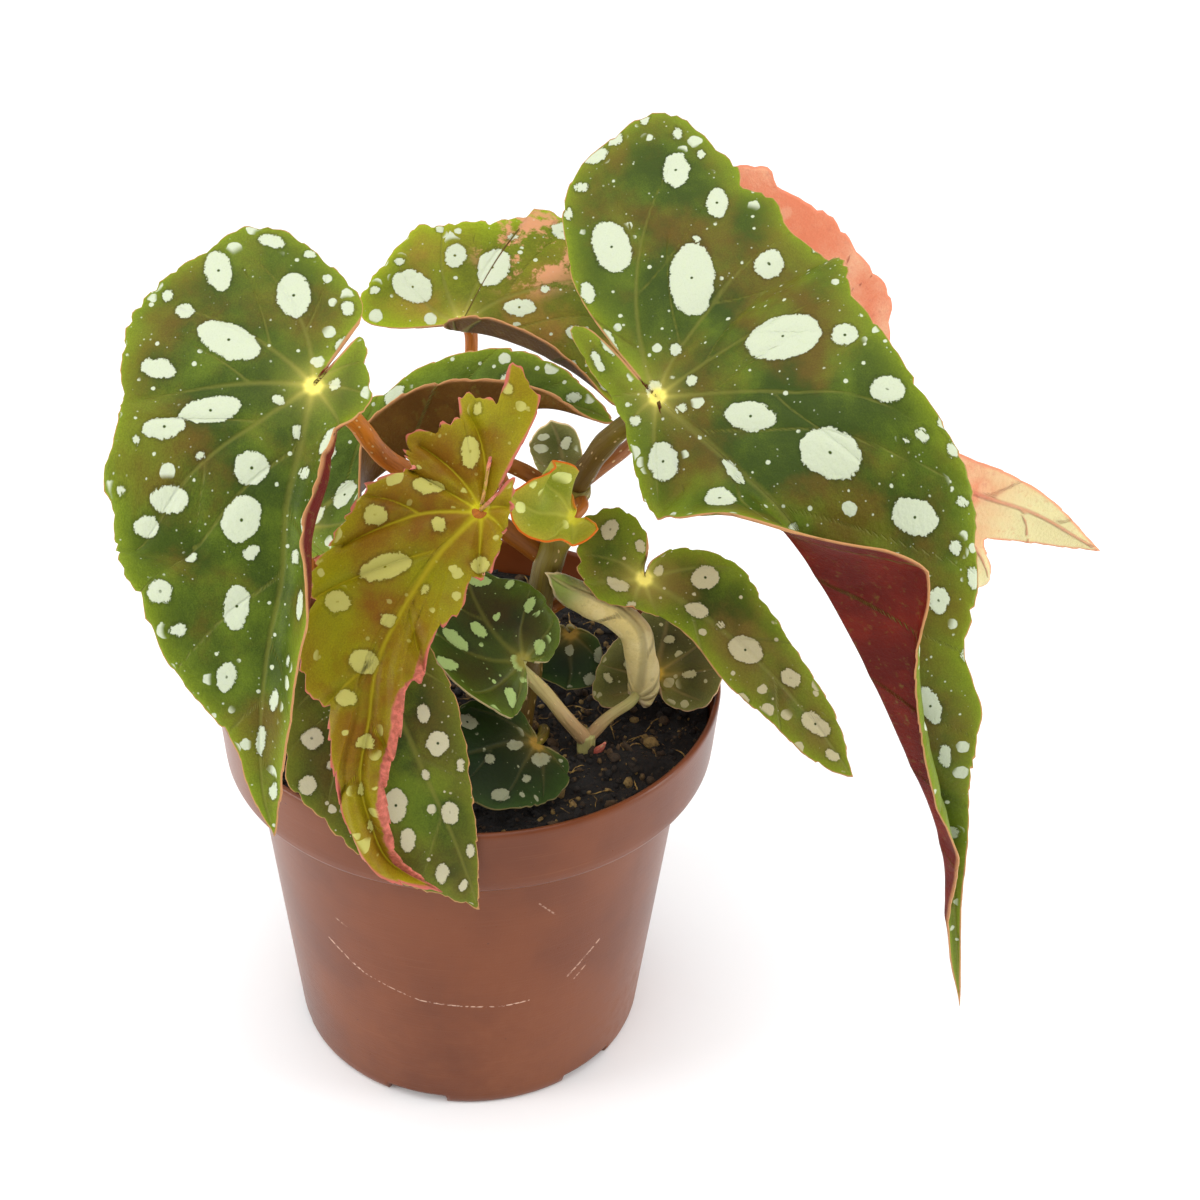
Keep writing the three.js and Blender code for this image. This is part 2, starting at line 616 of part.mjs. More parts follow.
const finishes = {
  terracottaPlastic: [0x8a5040, 0.5],
  pottingSoil: [0x1e1712, 0.95],
  leafGreen: [0x40562a, 0.45],
  leafDeep: [0x22341f, 0.45],
  leafOlive: [0x5a5a34, 0.5],
  leafYoung: [0x9a8f28, 0.45],
  leafPale: [0xa89a6c, 0.55],
  leafPink: [0xd08a72, 0.5],
  stem: [0x8a5a34, 0.5],
};

function finish(name) {
  const [color, roughness] = finishes[name];
  return new THREE.MeshStandardMaterial({ color, roughness, metalness: 0 });
}

function piece(name, geometry, finishName) {
  const mesh = new THREE.Mesh(geometry, finish(finishName));
  mesh.name = name;
  return mesh;
}

const plant = new THREE.Group();
plant.add(piece('pot', potGeometry(), 'terracottaPlastic'));
plant.add(piece('soil', soilGeometry(), 'pottingSoil'));
for (const [name, stems] of Object.entries(shoots)) {
  plant.add(piece(name, shootGeometry(stems), 'stem'));
}
for (const [name, blade] of Object.entries(blades)) {
  plant.add(piece(name, bladeGeometry(blade, midribs[name]), blade.tone));
}

export default plant;
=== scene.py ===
"""Looks of a potted polka dot begonia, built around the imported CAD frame.

Shapes are worked out in millimetres in the part's own frame: the origin is the centre of the pot's
underside, +Z is up and the plant's front faces -Y. They turn into metres when a mesh is made.
"""

from __future__ import annotations

import logging
import math
from dataclasses import dataclass, replace
from enum import Enum
from functools import reduce
from itertools import starmap
from typing import Sequence

import bpy
import numpy as np
from mathutils import Matrix, Vector

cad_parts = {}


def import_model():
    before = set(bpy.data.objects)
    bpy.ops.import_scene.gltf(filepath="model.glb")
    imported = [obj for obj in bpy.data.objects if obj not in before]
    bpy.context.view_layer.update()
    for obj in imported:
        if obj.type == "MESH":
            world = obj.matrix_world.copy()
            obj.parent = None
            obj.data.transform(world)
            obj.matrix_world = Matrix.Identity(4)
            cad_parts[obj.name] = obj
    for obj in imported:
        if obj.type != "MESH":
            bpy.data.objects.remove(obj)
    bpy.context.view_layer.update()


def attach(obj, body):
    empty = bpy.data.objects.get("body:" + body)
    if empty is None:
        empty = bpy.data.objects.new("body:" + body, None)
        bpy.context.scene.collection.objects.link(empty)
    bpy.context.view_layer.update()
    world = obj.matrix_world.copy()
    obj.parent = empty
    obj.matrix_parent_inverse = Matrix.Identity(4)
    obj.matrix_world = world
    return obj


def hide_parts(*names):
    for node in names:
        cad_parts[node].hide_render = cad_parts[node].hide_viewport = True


log = logging.getLogger("begonia")

MM = 0.001
BLADE_THICKNESS = 0.8
STALK_REACH = 0.35
SOIL_LEVEL = 94.0
POT_FLOOR = 4.6
MIDRIB_STEPS = 24
MARGIN_STEPS = 60

Array = np.ndarray
Table = Sequence[tuple]


# Plain maths


def catmull_rom(points: Table, steps: int) -> Array:
    """Points of a uniform Catmull-Rom spline.

    p(t) = (2b + (c - a)t + (2a - 5b + 4c - d)t^2 + (3b - a - 3c + d)t^3) / 2 between b and c, with a
    and d their neighbours, mirrored past each end.

    Args:
        points: the control points.
        steps: points made for each span between control points.

    Returns:
        An array of (spans * steps + 1) rows.
    """
    p = np.asarray(points, float)
    p = np.vstack([2 * p[0] - p[1], p, 2 * p[-1] - p[-2]])
    t = (np.arange(steps) / steps)[:, None]
    a, b, c, d = p[:-3, None], p[1:-2, None], p[2:-1, None], p[3:, None]
    body = 2 * b + (c - a) * t + (2 * a - 5 * b + 4 * c - d) * t**2 + (3 * b - a - 3 * c + d) * t**3
    return np.vstack([body.reshape(-1, p.shape[1]) / 2, p[-2]])


def unit(v: Array) -> Array:
    """Rows of v scaled to length one."""
    return v / np.maximum(np.linalg.norm(v, axis=-1, keepdims=True), 1e-9)


def even(points: Array, count: int) -> Array:
    """A polyline resampled at even distances along it.

    Args:
        points: the polyline, a row for each point.
        count: how many points the new one has.

    Returns:
        The new polyline.
    """
    run = np.r_[0, np.cumsum(np.linalg.norm(np.diff(points, axis=0), axis=1))]
    at = np.linspace(0, run[-1], count)
    return np.stack([np.interp(at, run, points[:, k]) for k in range(points.shape[1])], 1)


def reading(table: Table, x: Array) -> Array:
    """Value at x of a table of (x, value) pairs, held level past its ends."""
    pairs = np.asarray(table, float)
    return np.interp(x, pairs[:, 0], pairs[:, 1])


def nearest(points: Array, line: Array) -> tuple[Array, Array]:
    """Distance from each point to a polyline, and how far along it that is.

    Args:
        points: (n, 2) places.
        line: (m, 2) polyline.

    Returns:
        Distances, and shares from 0 to 1 counted in segments, both of length n.
    """
    a, b = line[:-1], line[1:]
    along = b - a
    size = np.maximum((along**2).sum(1), 1e-9)
    best = np.full(len(points), 1e9)
    share = np.zeros(len(points))
    for k in range(len(a)):
        t = np.clip(((points - a[k]) @ along[k]) / size[k], 0, 1)
        gap = np.linalg.norm(points - a[k] - t[:, None] * along[k], axis=1)
        closer = gap < best
        best = np.where(closer, gap, best)
        share = np.where(closer, (k + t) / len(a), share)
    return best, share


def ripples(places: Array, size: float, seed: int, waves: int = 9) -> Array:
    """Smooth seeded waves over places, a sum of plane sines, about -1 to 1.

    sum_k sin(2 pi (d_k . p) / (size w_k) + phase_k) / sqrt(waves)

    Args:
        places: rows of places.
        size: typical wavelength.
        seed: start of the random directions, lengths and phases.
        waves: number of sines.

    Returns:
        A height for each row.
    """
    draw = np.random.default_rng(seed)
    ways = unit(draw.normal(size=(waves, places.shape[1])))
    lengths = size * draw.uniform(0.7, 1.6, waves)
    phases = draw.uniform(0, 2 * math.pi, waves)
    return np.sin(2 * math.pi * (places @ ways.T) / lengths + phases).sum(1) / math.sqrt(waves)


# Meshes


def make_mesh(name: str, verts: Array, faces: list[Array], marks: dict[str, Array] | None = None,
              kinds: Array | None = None) -> bpy.types.Object:
    """Makes a smooth-shaded mesh object from arrays.

    Args:
        name: the object's name.
        verts: (n, 3) places in millimetres.
        faces: arrays of faces, each of shape (m, 3) or (m, 4).
        marks: point attributes, float (n,) or vector (n, 3).
        kinds: material index of each face.

    Returns:
        The new object, linked to the scene.
    """
    mesh = bpy.data.meshes.new(name)
    corners = np.concatenate([f.ravel() for f in faces]).astype(np.int32)
    sizes = np.concatenate([np.full(len(f), f.shape[1]) for f in faces]).astype(np.int32)
    starts = np.r_[0, np.cumsum(sizes)[:-1]].astype(np.int32)
    mesh.vertices.add(len(verts))
    mesh.vertices.foreach_set("co", np.ascontiguousarray(verts * MM, np.float32).ravel())
    mesh.loops.add(len(corners))
    mesh.loops.foreach_set("vertex_index", corners)
    mesh.polygons.add(len(sizes))
    mesh.polygons.foreach_set("loop_start", starts)
    if kinds is not None:
        mesh.polygons.foreach_set("material_index", kinds.astype(np.int32))
    mesh.update(calc_edges=True)
    mesh.polygons.foreach_set("use_smooth", np.ones(len(sizes), bool))
    for mark, values in (marks or {}).items():
        if values.ndim == 2:
            mesh.attributes.new(mark, "FLOAT_VECTOR", "POINT").data.foreach_set(
                "vector", np.ascontiguousarray(values, np.float32).ravel())
        else:
            mesh.attributes.new(mark, "FLOAT", "POINT").data.foreach_set(
                "value", np.ascontiguousarray(values, np.float32))
    made = bpy.data.objects.new(name, mesh)
    bpy.context.scene.collection.objects.link(made)
    return made


def grid_faces(rows: int, columns: int, wrap: bool) -> Array:
    """Quads of a grid of points stored row after row.

    Args:
        rows: number of rows.
        columns: number of columns.
        wrap: whether the last column joins the first.

    Returns:
        (m, 4) corner indices.
    """
    r, c = np.meshgrid(np.arange(rows - 1), np.arange(columns if wrap else columns - 1), indexing="ij")
    n = (c + 1) % columns
    return np.stack([r * columns + c, r * columns + n, (r + 1) * columns + n, (r + 1) * columns + c],
                    -1).reshape(-1, 4)


def capped_faces(rows: int, columns: int) -> list[Array]:
    """Faces of a stack of rings closed by fans, with the foot's centre first and the top's last.

    Args:
        rows: number of rings.
        columns: points of each.

    Returns:
        The sides, the foot and the top.
    """
    first = np.arange(columns)
    after = (first + 1) % columns
    last = 1 + (rows - 1) * columns
    return [grid_faces(rows, columns, wrap=True) + 1,
            np.stack([np.zeros(columns, int), after + 1, first + 1], 1),
            np.stack([np.full(columns, 1 + rows * columns), first + last, after + last], 1)]


# Shader values


class Value:
    """A number, vector or colour in a material's nodes, with the usual operators on numbers."""

    def __init__(self, paint: Paint, socket: bpy.types.NodeSocket) -> None:
        """Keeps the paint that the value belongs to and the socket that gives it."""
        self.paint = paint
        self.socket = socket

    def _math(self, operation: str, *others: Value | float) -> Value:
        """This value and others through one Math node.

        Args:
            operation: what the node does.
            *others: the others.

        Returns:
            The result.
        """
        sockets = dict(enumerate((self, *others)))
        made = self.paint.node("ShaderNodeMath", {"operation": operation}, sockets)
        return Value(self.paint, made.outputs[0])

    def __add__(self, other: Value | float) -> Value:
        """self + other."""
        return self._math("ADD", other)

    def __radd__(self, other: float) -> Value:
        """other + self."""
        return self._math("ADD", other)

    def __sub__(self, other: Value | float) -> Value:
        """self - other."""
        return self._math("SUBTRACT", other)

    def __rsub__(self, other: float) -> Value:
        """other - self."""
        return (self * -1.0)._math("ADD", other)

    def __mul__(self, other: Value | float) -> Value:
        """self * other."""
        return self._math("MULTIPLY", other)

    def __rmul__(self, other: float) -> Value:
        """other * self."""
        return self._math("MULTIPLY", other)

    def least(self, other: Value | float) -> Value:
        """The smaller of the two."""
        return self._math("MINIMUM", other)

    def most(self, other: Value | float) -> Value:
        """The larger of the two."""
        return self._math("MAXIMUM", other)

    def root(self) -> Value:
        """The square root."""
        return self._math("SQRT")

    def fall(self, width: float) -> Value:
        """exp(-v / width), from 1 at zero down to 0 far off."""
        return (self * (-1.0 / width))._math("EXPONENT")

    def step(self, low: float, high: float) -> Value:
        """Smooth step 3t^2 - 2t^3 with t = (v - low) / (high - low), held to 0 to 1.

        Args:
            low: where it is 0.
            high: where it is 1, which may be below low.

        Returns:
            The stepped value.
        """
        ends = (high, low, 1.0, 0.0) if low > high else (low, high, 0.0, 1.0)
        sockets = dict(zip(("From Min", "From Max", "To Min", "To Max"), ends))
        made = self.paint.node("ShaderNodeMapRange", {"interpolation_type": "SMOOTHSTEP", "clamp": True},
                               {"Value": self, **sockets})
        return Value(self.paint, made.outputs["Result"])


class Colour(tuple):
    """A linear colour with alpha 1, from sRGB numbers of 0 to 255."""

    def __new__(cls, red: float, green: float, blue: float) -> Colour:
        """Turns each channel linear: ((c + 0.055) / 1.055)^2.4, or c / 12.92 for a very dark one.

        Args:
            red: from 0 to 255.
            green: the same.
            blue: the same.

        Returns:
            The colour.
        """
        shares = (channel / 255 for channel in (red, green, blue))
        linear = (c / 12.92 if c <= 0.04045 else ((c + 0.055) / 1.055) ** 2.4 for c in shares)
        return super().__new__(cls, (*linear, 1.0))

    @classmethod
    def grey(cls, share: float) -> Colour:
        """A grey whose linear channels are all that share."""
        return super().__new__(cls, (share, share, share, 1.0))


BLACK = Colour(0, 0, 0)


class Paint:
    """A material under construction."""

    def __init__(self, name: str) -> None:
        """Makes the material with its shader and output.

        Args:
            name: the material's name.
        """
        self.material = bpy.data.materials.new(name)
        self.material.use_nodes = True
        self.tree = self.material.node_tree
        self.tree.nodes.clear()
        self.shader = self.node("ShaderNodeBsdfPrincipled")
        output = self.node("ShaderNodeOutputMaterial")
        self.tree.links.new(self.shader.outputs[0], output.inputs[0])

    def node(self, kind: str, settings: dict | None = None, sockets: dict | None = None) -> bpy.types.Node:
        """A new node.

        Args:
            kind: the node's type.
            settings: its settings, such as a Math node's operation, which are set first.
            sockets: values or links for its sockets, by name or number.

        Returns:
            The node.
        """
        made = self.tree.nodes.new(kind)
        for name, setting in (settings or {}).items():
            setattr(made, name, setting)
        for key, value in (sockets or {}).items():
            self.feed(made.inputs[key], value)
        return made

    def feed(self, socket: bpy.types.NodeSocket, value: Value | float | tuple) -> None:
        """Links a value to a socket, or sets a constant on it.

        Args:
            socket: the socket.
            value: what it is given.
        """
        if isinstance(value, Value):
            self.tree.links.new(value.socket, socket)
        else:
            socket.default_value = value

    def mark(self, name: str) -> Value:
        """A point attribute of the mesh that holds a number."""
        return Value(self, self.node("ShaderNodeAttribute", {"attribute_name": name}).outputs["Fac"])

    def marks(self, name: str) -> Value:
        """A point attribute of the mesh that holds a vector."""
        return Value(self, self.node("ShaderNodeAttribute", {"attribute_name": name}).outputs["Vector"])

    def place(self) -> Value:
        """Object coordinates, in millimetres."""
        return self.scaled(Value(self, self.node("ShaderNodeTexCoord").outputs["Object"]), 1 / MM)

    def scaled(self, vector: Value, by: float | tuple, shift: tuple = (0, 0, 0)) -> Value:
        """A vector v turned into v * by + shift.

        Args:
            vector: the vector.
            by: a number, or one for each part.
            shift: what is added to each part.

        Returns:
            The new vector.
        """
        factors = by if isinstance(by, tuple) else (by,) * 3
        made = self.node("ShaderNodeVectorMath", {"operation": "MULTIPLY_ADD"},
                         {0: vector, 1: factors, 2: shift})
        return Value(self, made.outputs[0])

    def pushed(self, vector: Value, scale: float, amount: float) -> Value:
        """A vector v turned into v + amount (noise(v) - 1/2), with its own noise for each part.

        Args:
            vector: the vector.
            scale: the noise's features per millimetre.
            amount: greatest push in millimetres, twice over.

        Returns:
            The new vector.
        """
        noise = self.node("ShaderNodeTexNoise", {}, {"Vector": vector, "Scale": scale, "Detail": 2.0})
        shift = self.scaled(Value(self, noise.outputs["Color"]), amount, (-amount / 2,) * 3)
        made = self.node("ShaderNodeVectorMath", {"operation": "ADD"}, {0: vector, 1: shift})
        return Value(self, made.outputs[0])

    def length(self, vector: Value) -> Value:
        """The length of a vector."""
        made = self.node("ShaderNodeVectorMath", {"operation": "LENGTH"}, {0: vector})
        return Value(self, made.outputs["Value"])

    def split(self, vector: Value) -> tuple[Value, Value, Value]:
        """The three parts of a vector."""
        made = self.node("ShaderNodeSeparateXYZ", {}, {0: vector})
        return tuple(Value(self, out) for out in made.outputs)

    def noise(self, vector: Value, scale: float, detail: float = 3.0, rough: float = 0.55) -> Value:
        """Perlin noise about 0.5.

        Args:
            vector: where it is read.
            scale: features per millimetre.
            detail: octaves past the first.
            rough: strength of each octave against the one before.

        Returns:
            The noise, a number.
        """
        made = self.node("ShaderNodeTexNoise", {},
                         {"Vector": vector, "Scale": scale, "Detail": detail, "Roughness": rough})
        return Value(self, made.outputs["Fac"])

    def cells(self, vector: Value, scale: float) -> tuple[Value, Value]:
        """Voronoi cells, each round its own point.

        Args:
            vector: where they are read.
            scale: cells per millimetre.

        Returns:
            Distance to the cell's point in millimetres, and a random number for the cell.
        """
        made = self.node("ShaderNodeTexVoronoi", {}, {"Vector": vector, "Scale": scale})
        chance, _, _ = self.split(Value(self, made.outputs["Color"]))
        return Value(self, made.outputs["Distance"]) * (1 / scale), chance

    def mix(self, low: Value | tuple, high: Value | tuple, share: Value | float, blend: str = "MIX") -> Value:
        """low + share (blend(low, high) - low), on colours.

        Args:
            low: the colour at share 0.
            high: the colour that is blended in.
            share: how much of it, from 0 to 1.
            blend: the kind of blend.

        Returns:
            The new colour.
        """
        made = self.node("ShaderNodeMix", {"data_type": "RGBA", "blend_type": blend, "clamp_factor": True},
                         {0: share, 6: low, 7: high})
        return Value(self, made.outputs[2])

    def bump(self, height: Value, depth: float) -> Value:
        """A normal from a height, which is in millimetres once multiplied by depth."""
        made = self.node("ShaderNodeBump", {}, {"Strength": 1.0, "Distance": depth * MM, "Height": height})
        return Value(self, made.outputs[0])

    def finish(self, **inputs: Value | float | tuple) -> bpy.types.Material:
        """Sets the shader's inputs.

        Args:
            **inputs: what each is given, by its name with _ for a space.

        Returns:
            The finished material.
        """
        for name, value in inputs.items():
            self.feed(self.shader.inputs[name.replace("_", " ")], value)
        return self.material


# Leaf blades


@dataclass(frozen=True)
class Half:
    """One half of a blade, on one side of its midrib.

    Attributes:
        margin: (x, s) from the sinus round to the tip, millimetres along and out from the midrib.
        fold: (x, degrees) turned at the midrib.
        curl: (x, degrees) that grow outward.
        roll: (x, degrees) turned close to the margin.
    """

    margin: Table
    fold: Table = ((0, 0),)
    curl: Table = ((0, 0),)
    roll: Table = ((0, 0),)

    def width(self) -> float:
        """Greatest distance of the margin from the midrib."""
        return max(s for _, s in self.margin)

    def reach(self, x: Array) -> Array:
        """Greatest distance of the margin from the midrib, by bins a millimetre long.

        Args:
            x: millimetres along the midrib.

        Returns:
            The distance at each x.
        """
        line = catmull_rom(self.margin, MARGIN_STEPS)
        bins = np.round(line[:, 0]).astype(int)
        found = {b: max(line[bins == b, 1].max(), 0.5) for b in np.unique(bins)}
        return np.interp(x, list(found), list(found.values()))


@dataclass(frozen=True)
class Blade:
    """A leaf blade: a flat outline carried on a bent midrib.

    A point x along and s out from the midrib lies at
    M(x) + side s mean(cos a) L + |s| mean(sin a) N, with
    a(q) = fold min(1, q / crease) + curl (q / width)^power + roll clip((q - reach + span) / span),
    where M, L and N are the midrib's place, its left and its face, and q runs from 0 to s.

    Attributes:
        spine: midrib points. The second is the petiole point.
        face: the way that the upper face looks, one for all or one for each midrib point.
        wide: the half with the larger lobe.
        narrow: the other half.
        wide_on_left: whether the wide half is on the left, seen from above towards the tip.
        crease: millimetres over which the fold turns.
        roll_span: millimetres inside the margin over which the roll turns.
        curl_power: how late the curl comes.
        ruffle: height of the waves at the margin.
        ruffles: number of those waves.
    """

    spine: Table
    face: Table
    wide: Half
    narrow: Half
    wide_on_left: bool
    crease: float = 5.0
    roll_span: float = 5.0
    curl_power: float = 2.0
    ruffle: float = 0.0
    ruffles: float = 0.0

    def midrib(self) -> tuple[Array, Array, Array, Array]:
        """The midrib at fine steps of the spline through its points.

        Returns:
            Arc length from the petiole point, place, along and face.
        """
        faces = self.face if len(self.face) > 1 else self.face * len(self.spine)
        place = catmull_rom(self.spine, MIDRIB_STEPS)
        run = np.r_[0, np.cumsum(np.linalg.norm(np.diff(place, axis=0), axis=1))]
        return (run - run[MIDRIB_STEPS], place, unit(np.gradient(place, axis=0)),
                catmull_rom(faces, MIDRIB_STEPS))

    def length(self) -> float:
        """Length of the midrib from the petiole point to the tip."""
        return self.midrib()[0][-1]

    def stretch(self) -> float:
        """Midrib length over the flat outline's."""
        return self.length() / self.wide.margin[-1][0]

    def frame(self, x: Array) -> tuple[Array, Array, Array, Array]:
        """The midrib's frame, carried straight on past its ends.

        Args:
            x: millimetres from the petiole point.

        Returns:
            Place, along, face and left at each x.
        """
        run, place, along, face = self.midrib()

        def at(rows: Array) -> Array:
            """Rows of the midrib, read at x."""
            return np.stack([np.interp(x, run, rows[:, k]) for k in range(3)], -1)

        t = unit(at(along))
        past = np.minimum(x - run[0], 0) + np.maximum(x - run[-1], 0)
        n = at(face)
        n = unit(n - (n * t).sum(-1, keepdims=True) * t)
        return at(place) + past[..., None] * t, t, n, np.cross(n, t)

    def bend(self, flat_x: Array, s: Array, wide: Array) -> Array:
        """Places of points of the flat blade, by the class's formula with means over 24 steps.

        Args:
            flat_x: millimetres along the midrib.
            s: millimetres out from it.
            wide: whether each point is on the wide half.

        Returns:
            A place for each point.
        """
        x = np.where(flat_x > 0, flat_x * self.stretch(), flat_x)
        steps = 24
        far = np.abs(s)
        side_step = np.zeros_like(far)
        rise = np.zeros_like(far)
        for half, chosen in ((self.wide, wide), (self.narrow, ~wide)):
            fold = np.radians(reading(half.fold, x))
            curl = np.radians(reading(half.curl, x))
            roll = np.radians(reading(half.roll, x))
            start = half.reach(flat_x) - self.roll_span
            for k in range(steps):
                q = far * (k + 0.5) / steps
                angle = (fold * np.minimum(1, q / self.crease)
                         + curl * (q / half.width()) ** self.curl_power
                         + roll * np.clip((q - start) / self.roll_span, 0, 1))
                side_step += np.where(chosen, np.cos(angle), 0) / steps
                rise += np.where(chosen, np.sin(angle), 0) / steps
        place, _, face, left = self.frame(x)
        turn = np.where(wide == self.wide_on_left, 1.0, -1.0)
        return place + (turn * s * side_step)[..., None] * left + (far * rise)[..., None] * face

    def outline(self, count: int) -> tuple[Array, Array, Array]:
        """Points from the sinus round the wide half to the tip, and back round the narrow half.

        Args:
            count: number of points.

        Returns:
            x, s and whether each is on the wide half.
        """
        wide = catmull_rom(self.wide.margin, MARGIN_STEPS)
        narrow = catmull_rom(self.narrow.margin, MARGIN_STEPS)
        lengths = [np.linalg.norm(np.diff(line, axis=0), axis=1).sum() for line in (wide, narrow)]
        first = round(lengths[0] / sum(lengths) * (count - 1))
        rows = np.vstack([even(wide, first + 1), even(narrow, count - first)[::-1][1:]])
        return rows[:, 0], rows[:, 1], np.arange(count) <= first


@dataclass(frozen=True)
class Eye:
    """The camera, and where it sees a point in a frame of 1200 x 1200 pixels.

    Attributes:
        place: millimetres.
        pitch: degrees that it looks down.
        yaw: degrees that it looks to the right of +Y.
        roll: degrees that it is turned.
        lens: focal length in millimetres.
        sensor: sensor width in millimetres.
        frame: width and height of the frame in pixels.
    """

    place: tuple[float, float, float] = (0.0, -425.0, 412.0)
    pitch: float = 34.25
    yaw: float = 4.09
    roll: float = 2.21
    lens: float = 66.0
    sensor: float = 36.0
    frame: float = 1200.0

    def axes(self) -> tuple[Array, Array, Array]:
        """The directions to its right, up and forward, turned by yaw, pitch and then roll.

        Returns:
            Three unit vectors.
        """
        pitch, yaw, roll = np.radians((self.pitch, self.yaw, self.roll))
        forward = np.array([np.sin(yaw) * np.cos(pitch), np.cos(yaw) * np.cos(pitch), -np.sin(pitch)])
        level = np.array([np.cos(yaw), -np.sin(yaw), 0.0])
        rise = np.cross(level, forward)
        right = np.cos(roll) * level + np.sin(roll) * rise
        up = -np.sin(roll) * level + np.cos(roll) * rise
        return right, up, forward

    def sees(self, points: Array) -> tuple[Array, Array]:
        """Where points are in the picture.

        A pixel is the frame's middle plus lens / sensor * frame times the slope sideways or down.

        Args:
            points: rows of places.

        Returns:
            Pixels across and down, and distances in front of the camera.
        """
        right, up, forward = self.axes()
        away = points - np.array(self.place)
        depth = away @ forward
        scale = self.lens / self.sensor * self.frame / depth
        across = self.frame / 2 + scale * (away @ right)
        down = self.frame / 2 - scale * (away @ up)
        return np.stack([across, down], -1), depth

    def build(self) -> None:
        """Makes the camera and gives it to the scene."""
        right, up, forward = (Vector(axis) for axis in self.axes())
        data = bpy.data.cameras.new("camera")
        data.lens = self.lens
        data.sensor_width = self.sensor
        data.clip_start = 0.01
        camera = bpy.data.objects.new("camera", data)
        bpy.context.scene.collection.objects.link(camera)
        turn = Matrix((right, up, -forward)).transposed().to_4x4()
        camera.matrix_world = Matrix.Translation(Vector(self.place) * MM) @ turn
        bpy.context.scene.camera = camera


@dataclass(frozen=True)
class Dot:
    """A large silvery dot, measured where the camera sees it.

    Attributes:
        across: pixels from the frame's left to its centre.
        down: pixels from the frame's top to its centre.
        width: its size across in pixels, before it leans.
        height: its size down in pixels, before it leans.
        lean: degrees that it is turned anticlockwise.
    """

    across: float
    down: float
    width: float
    height: float
    lean: float = 0.0


@dataclass(frozen=True)
class Mark:
    """A dot's ellipse on the flat blade.

    Attributes:
        x: millimetres along the midrib from the petiole point.
        s: millimetres out from it, below zero on the narrow half.
        long: half of its length.
        short: half of its width.
        turn: radians from the midrib's direction to its length, towards the wide half.
    """

    x: float
    s: float
    long: float
    short: float
    turn: float


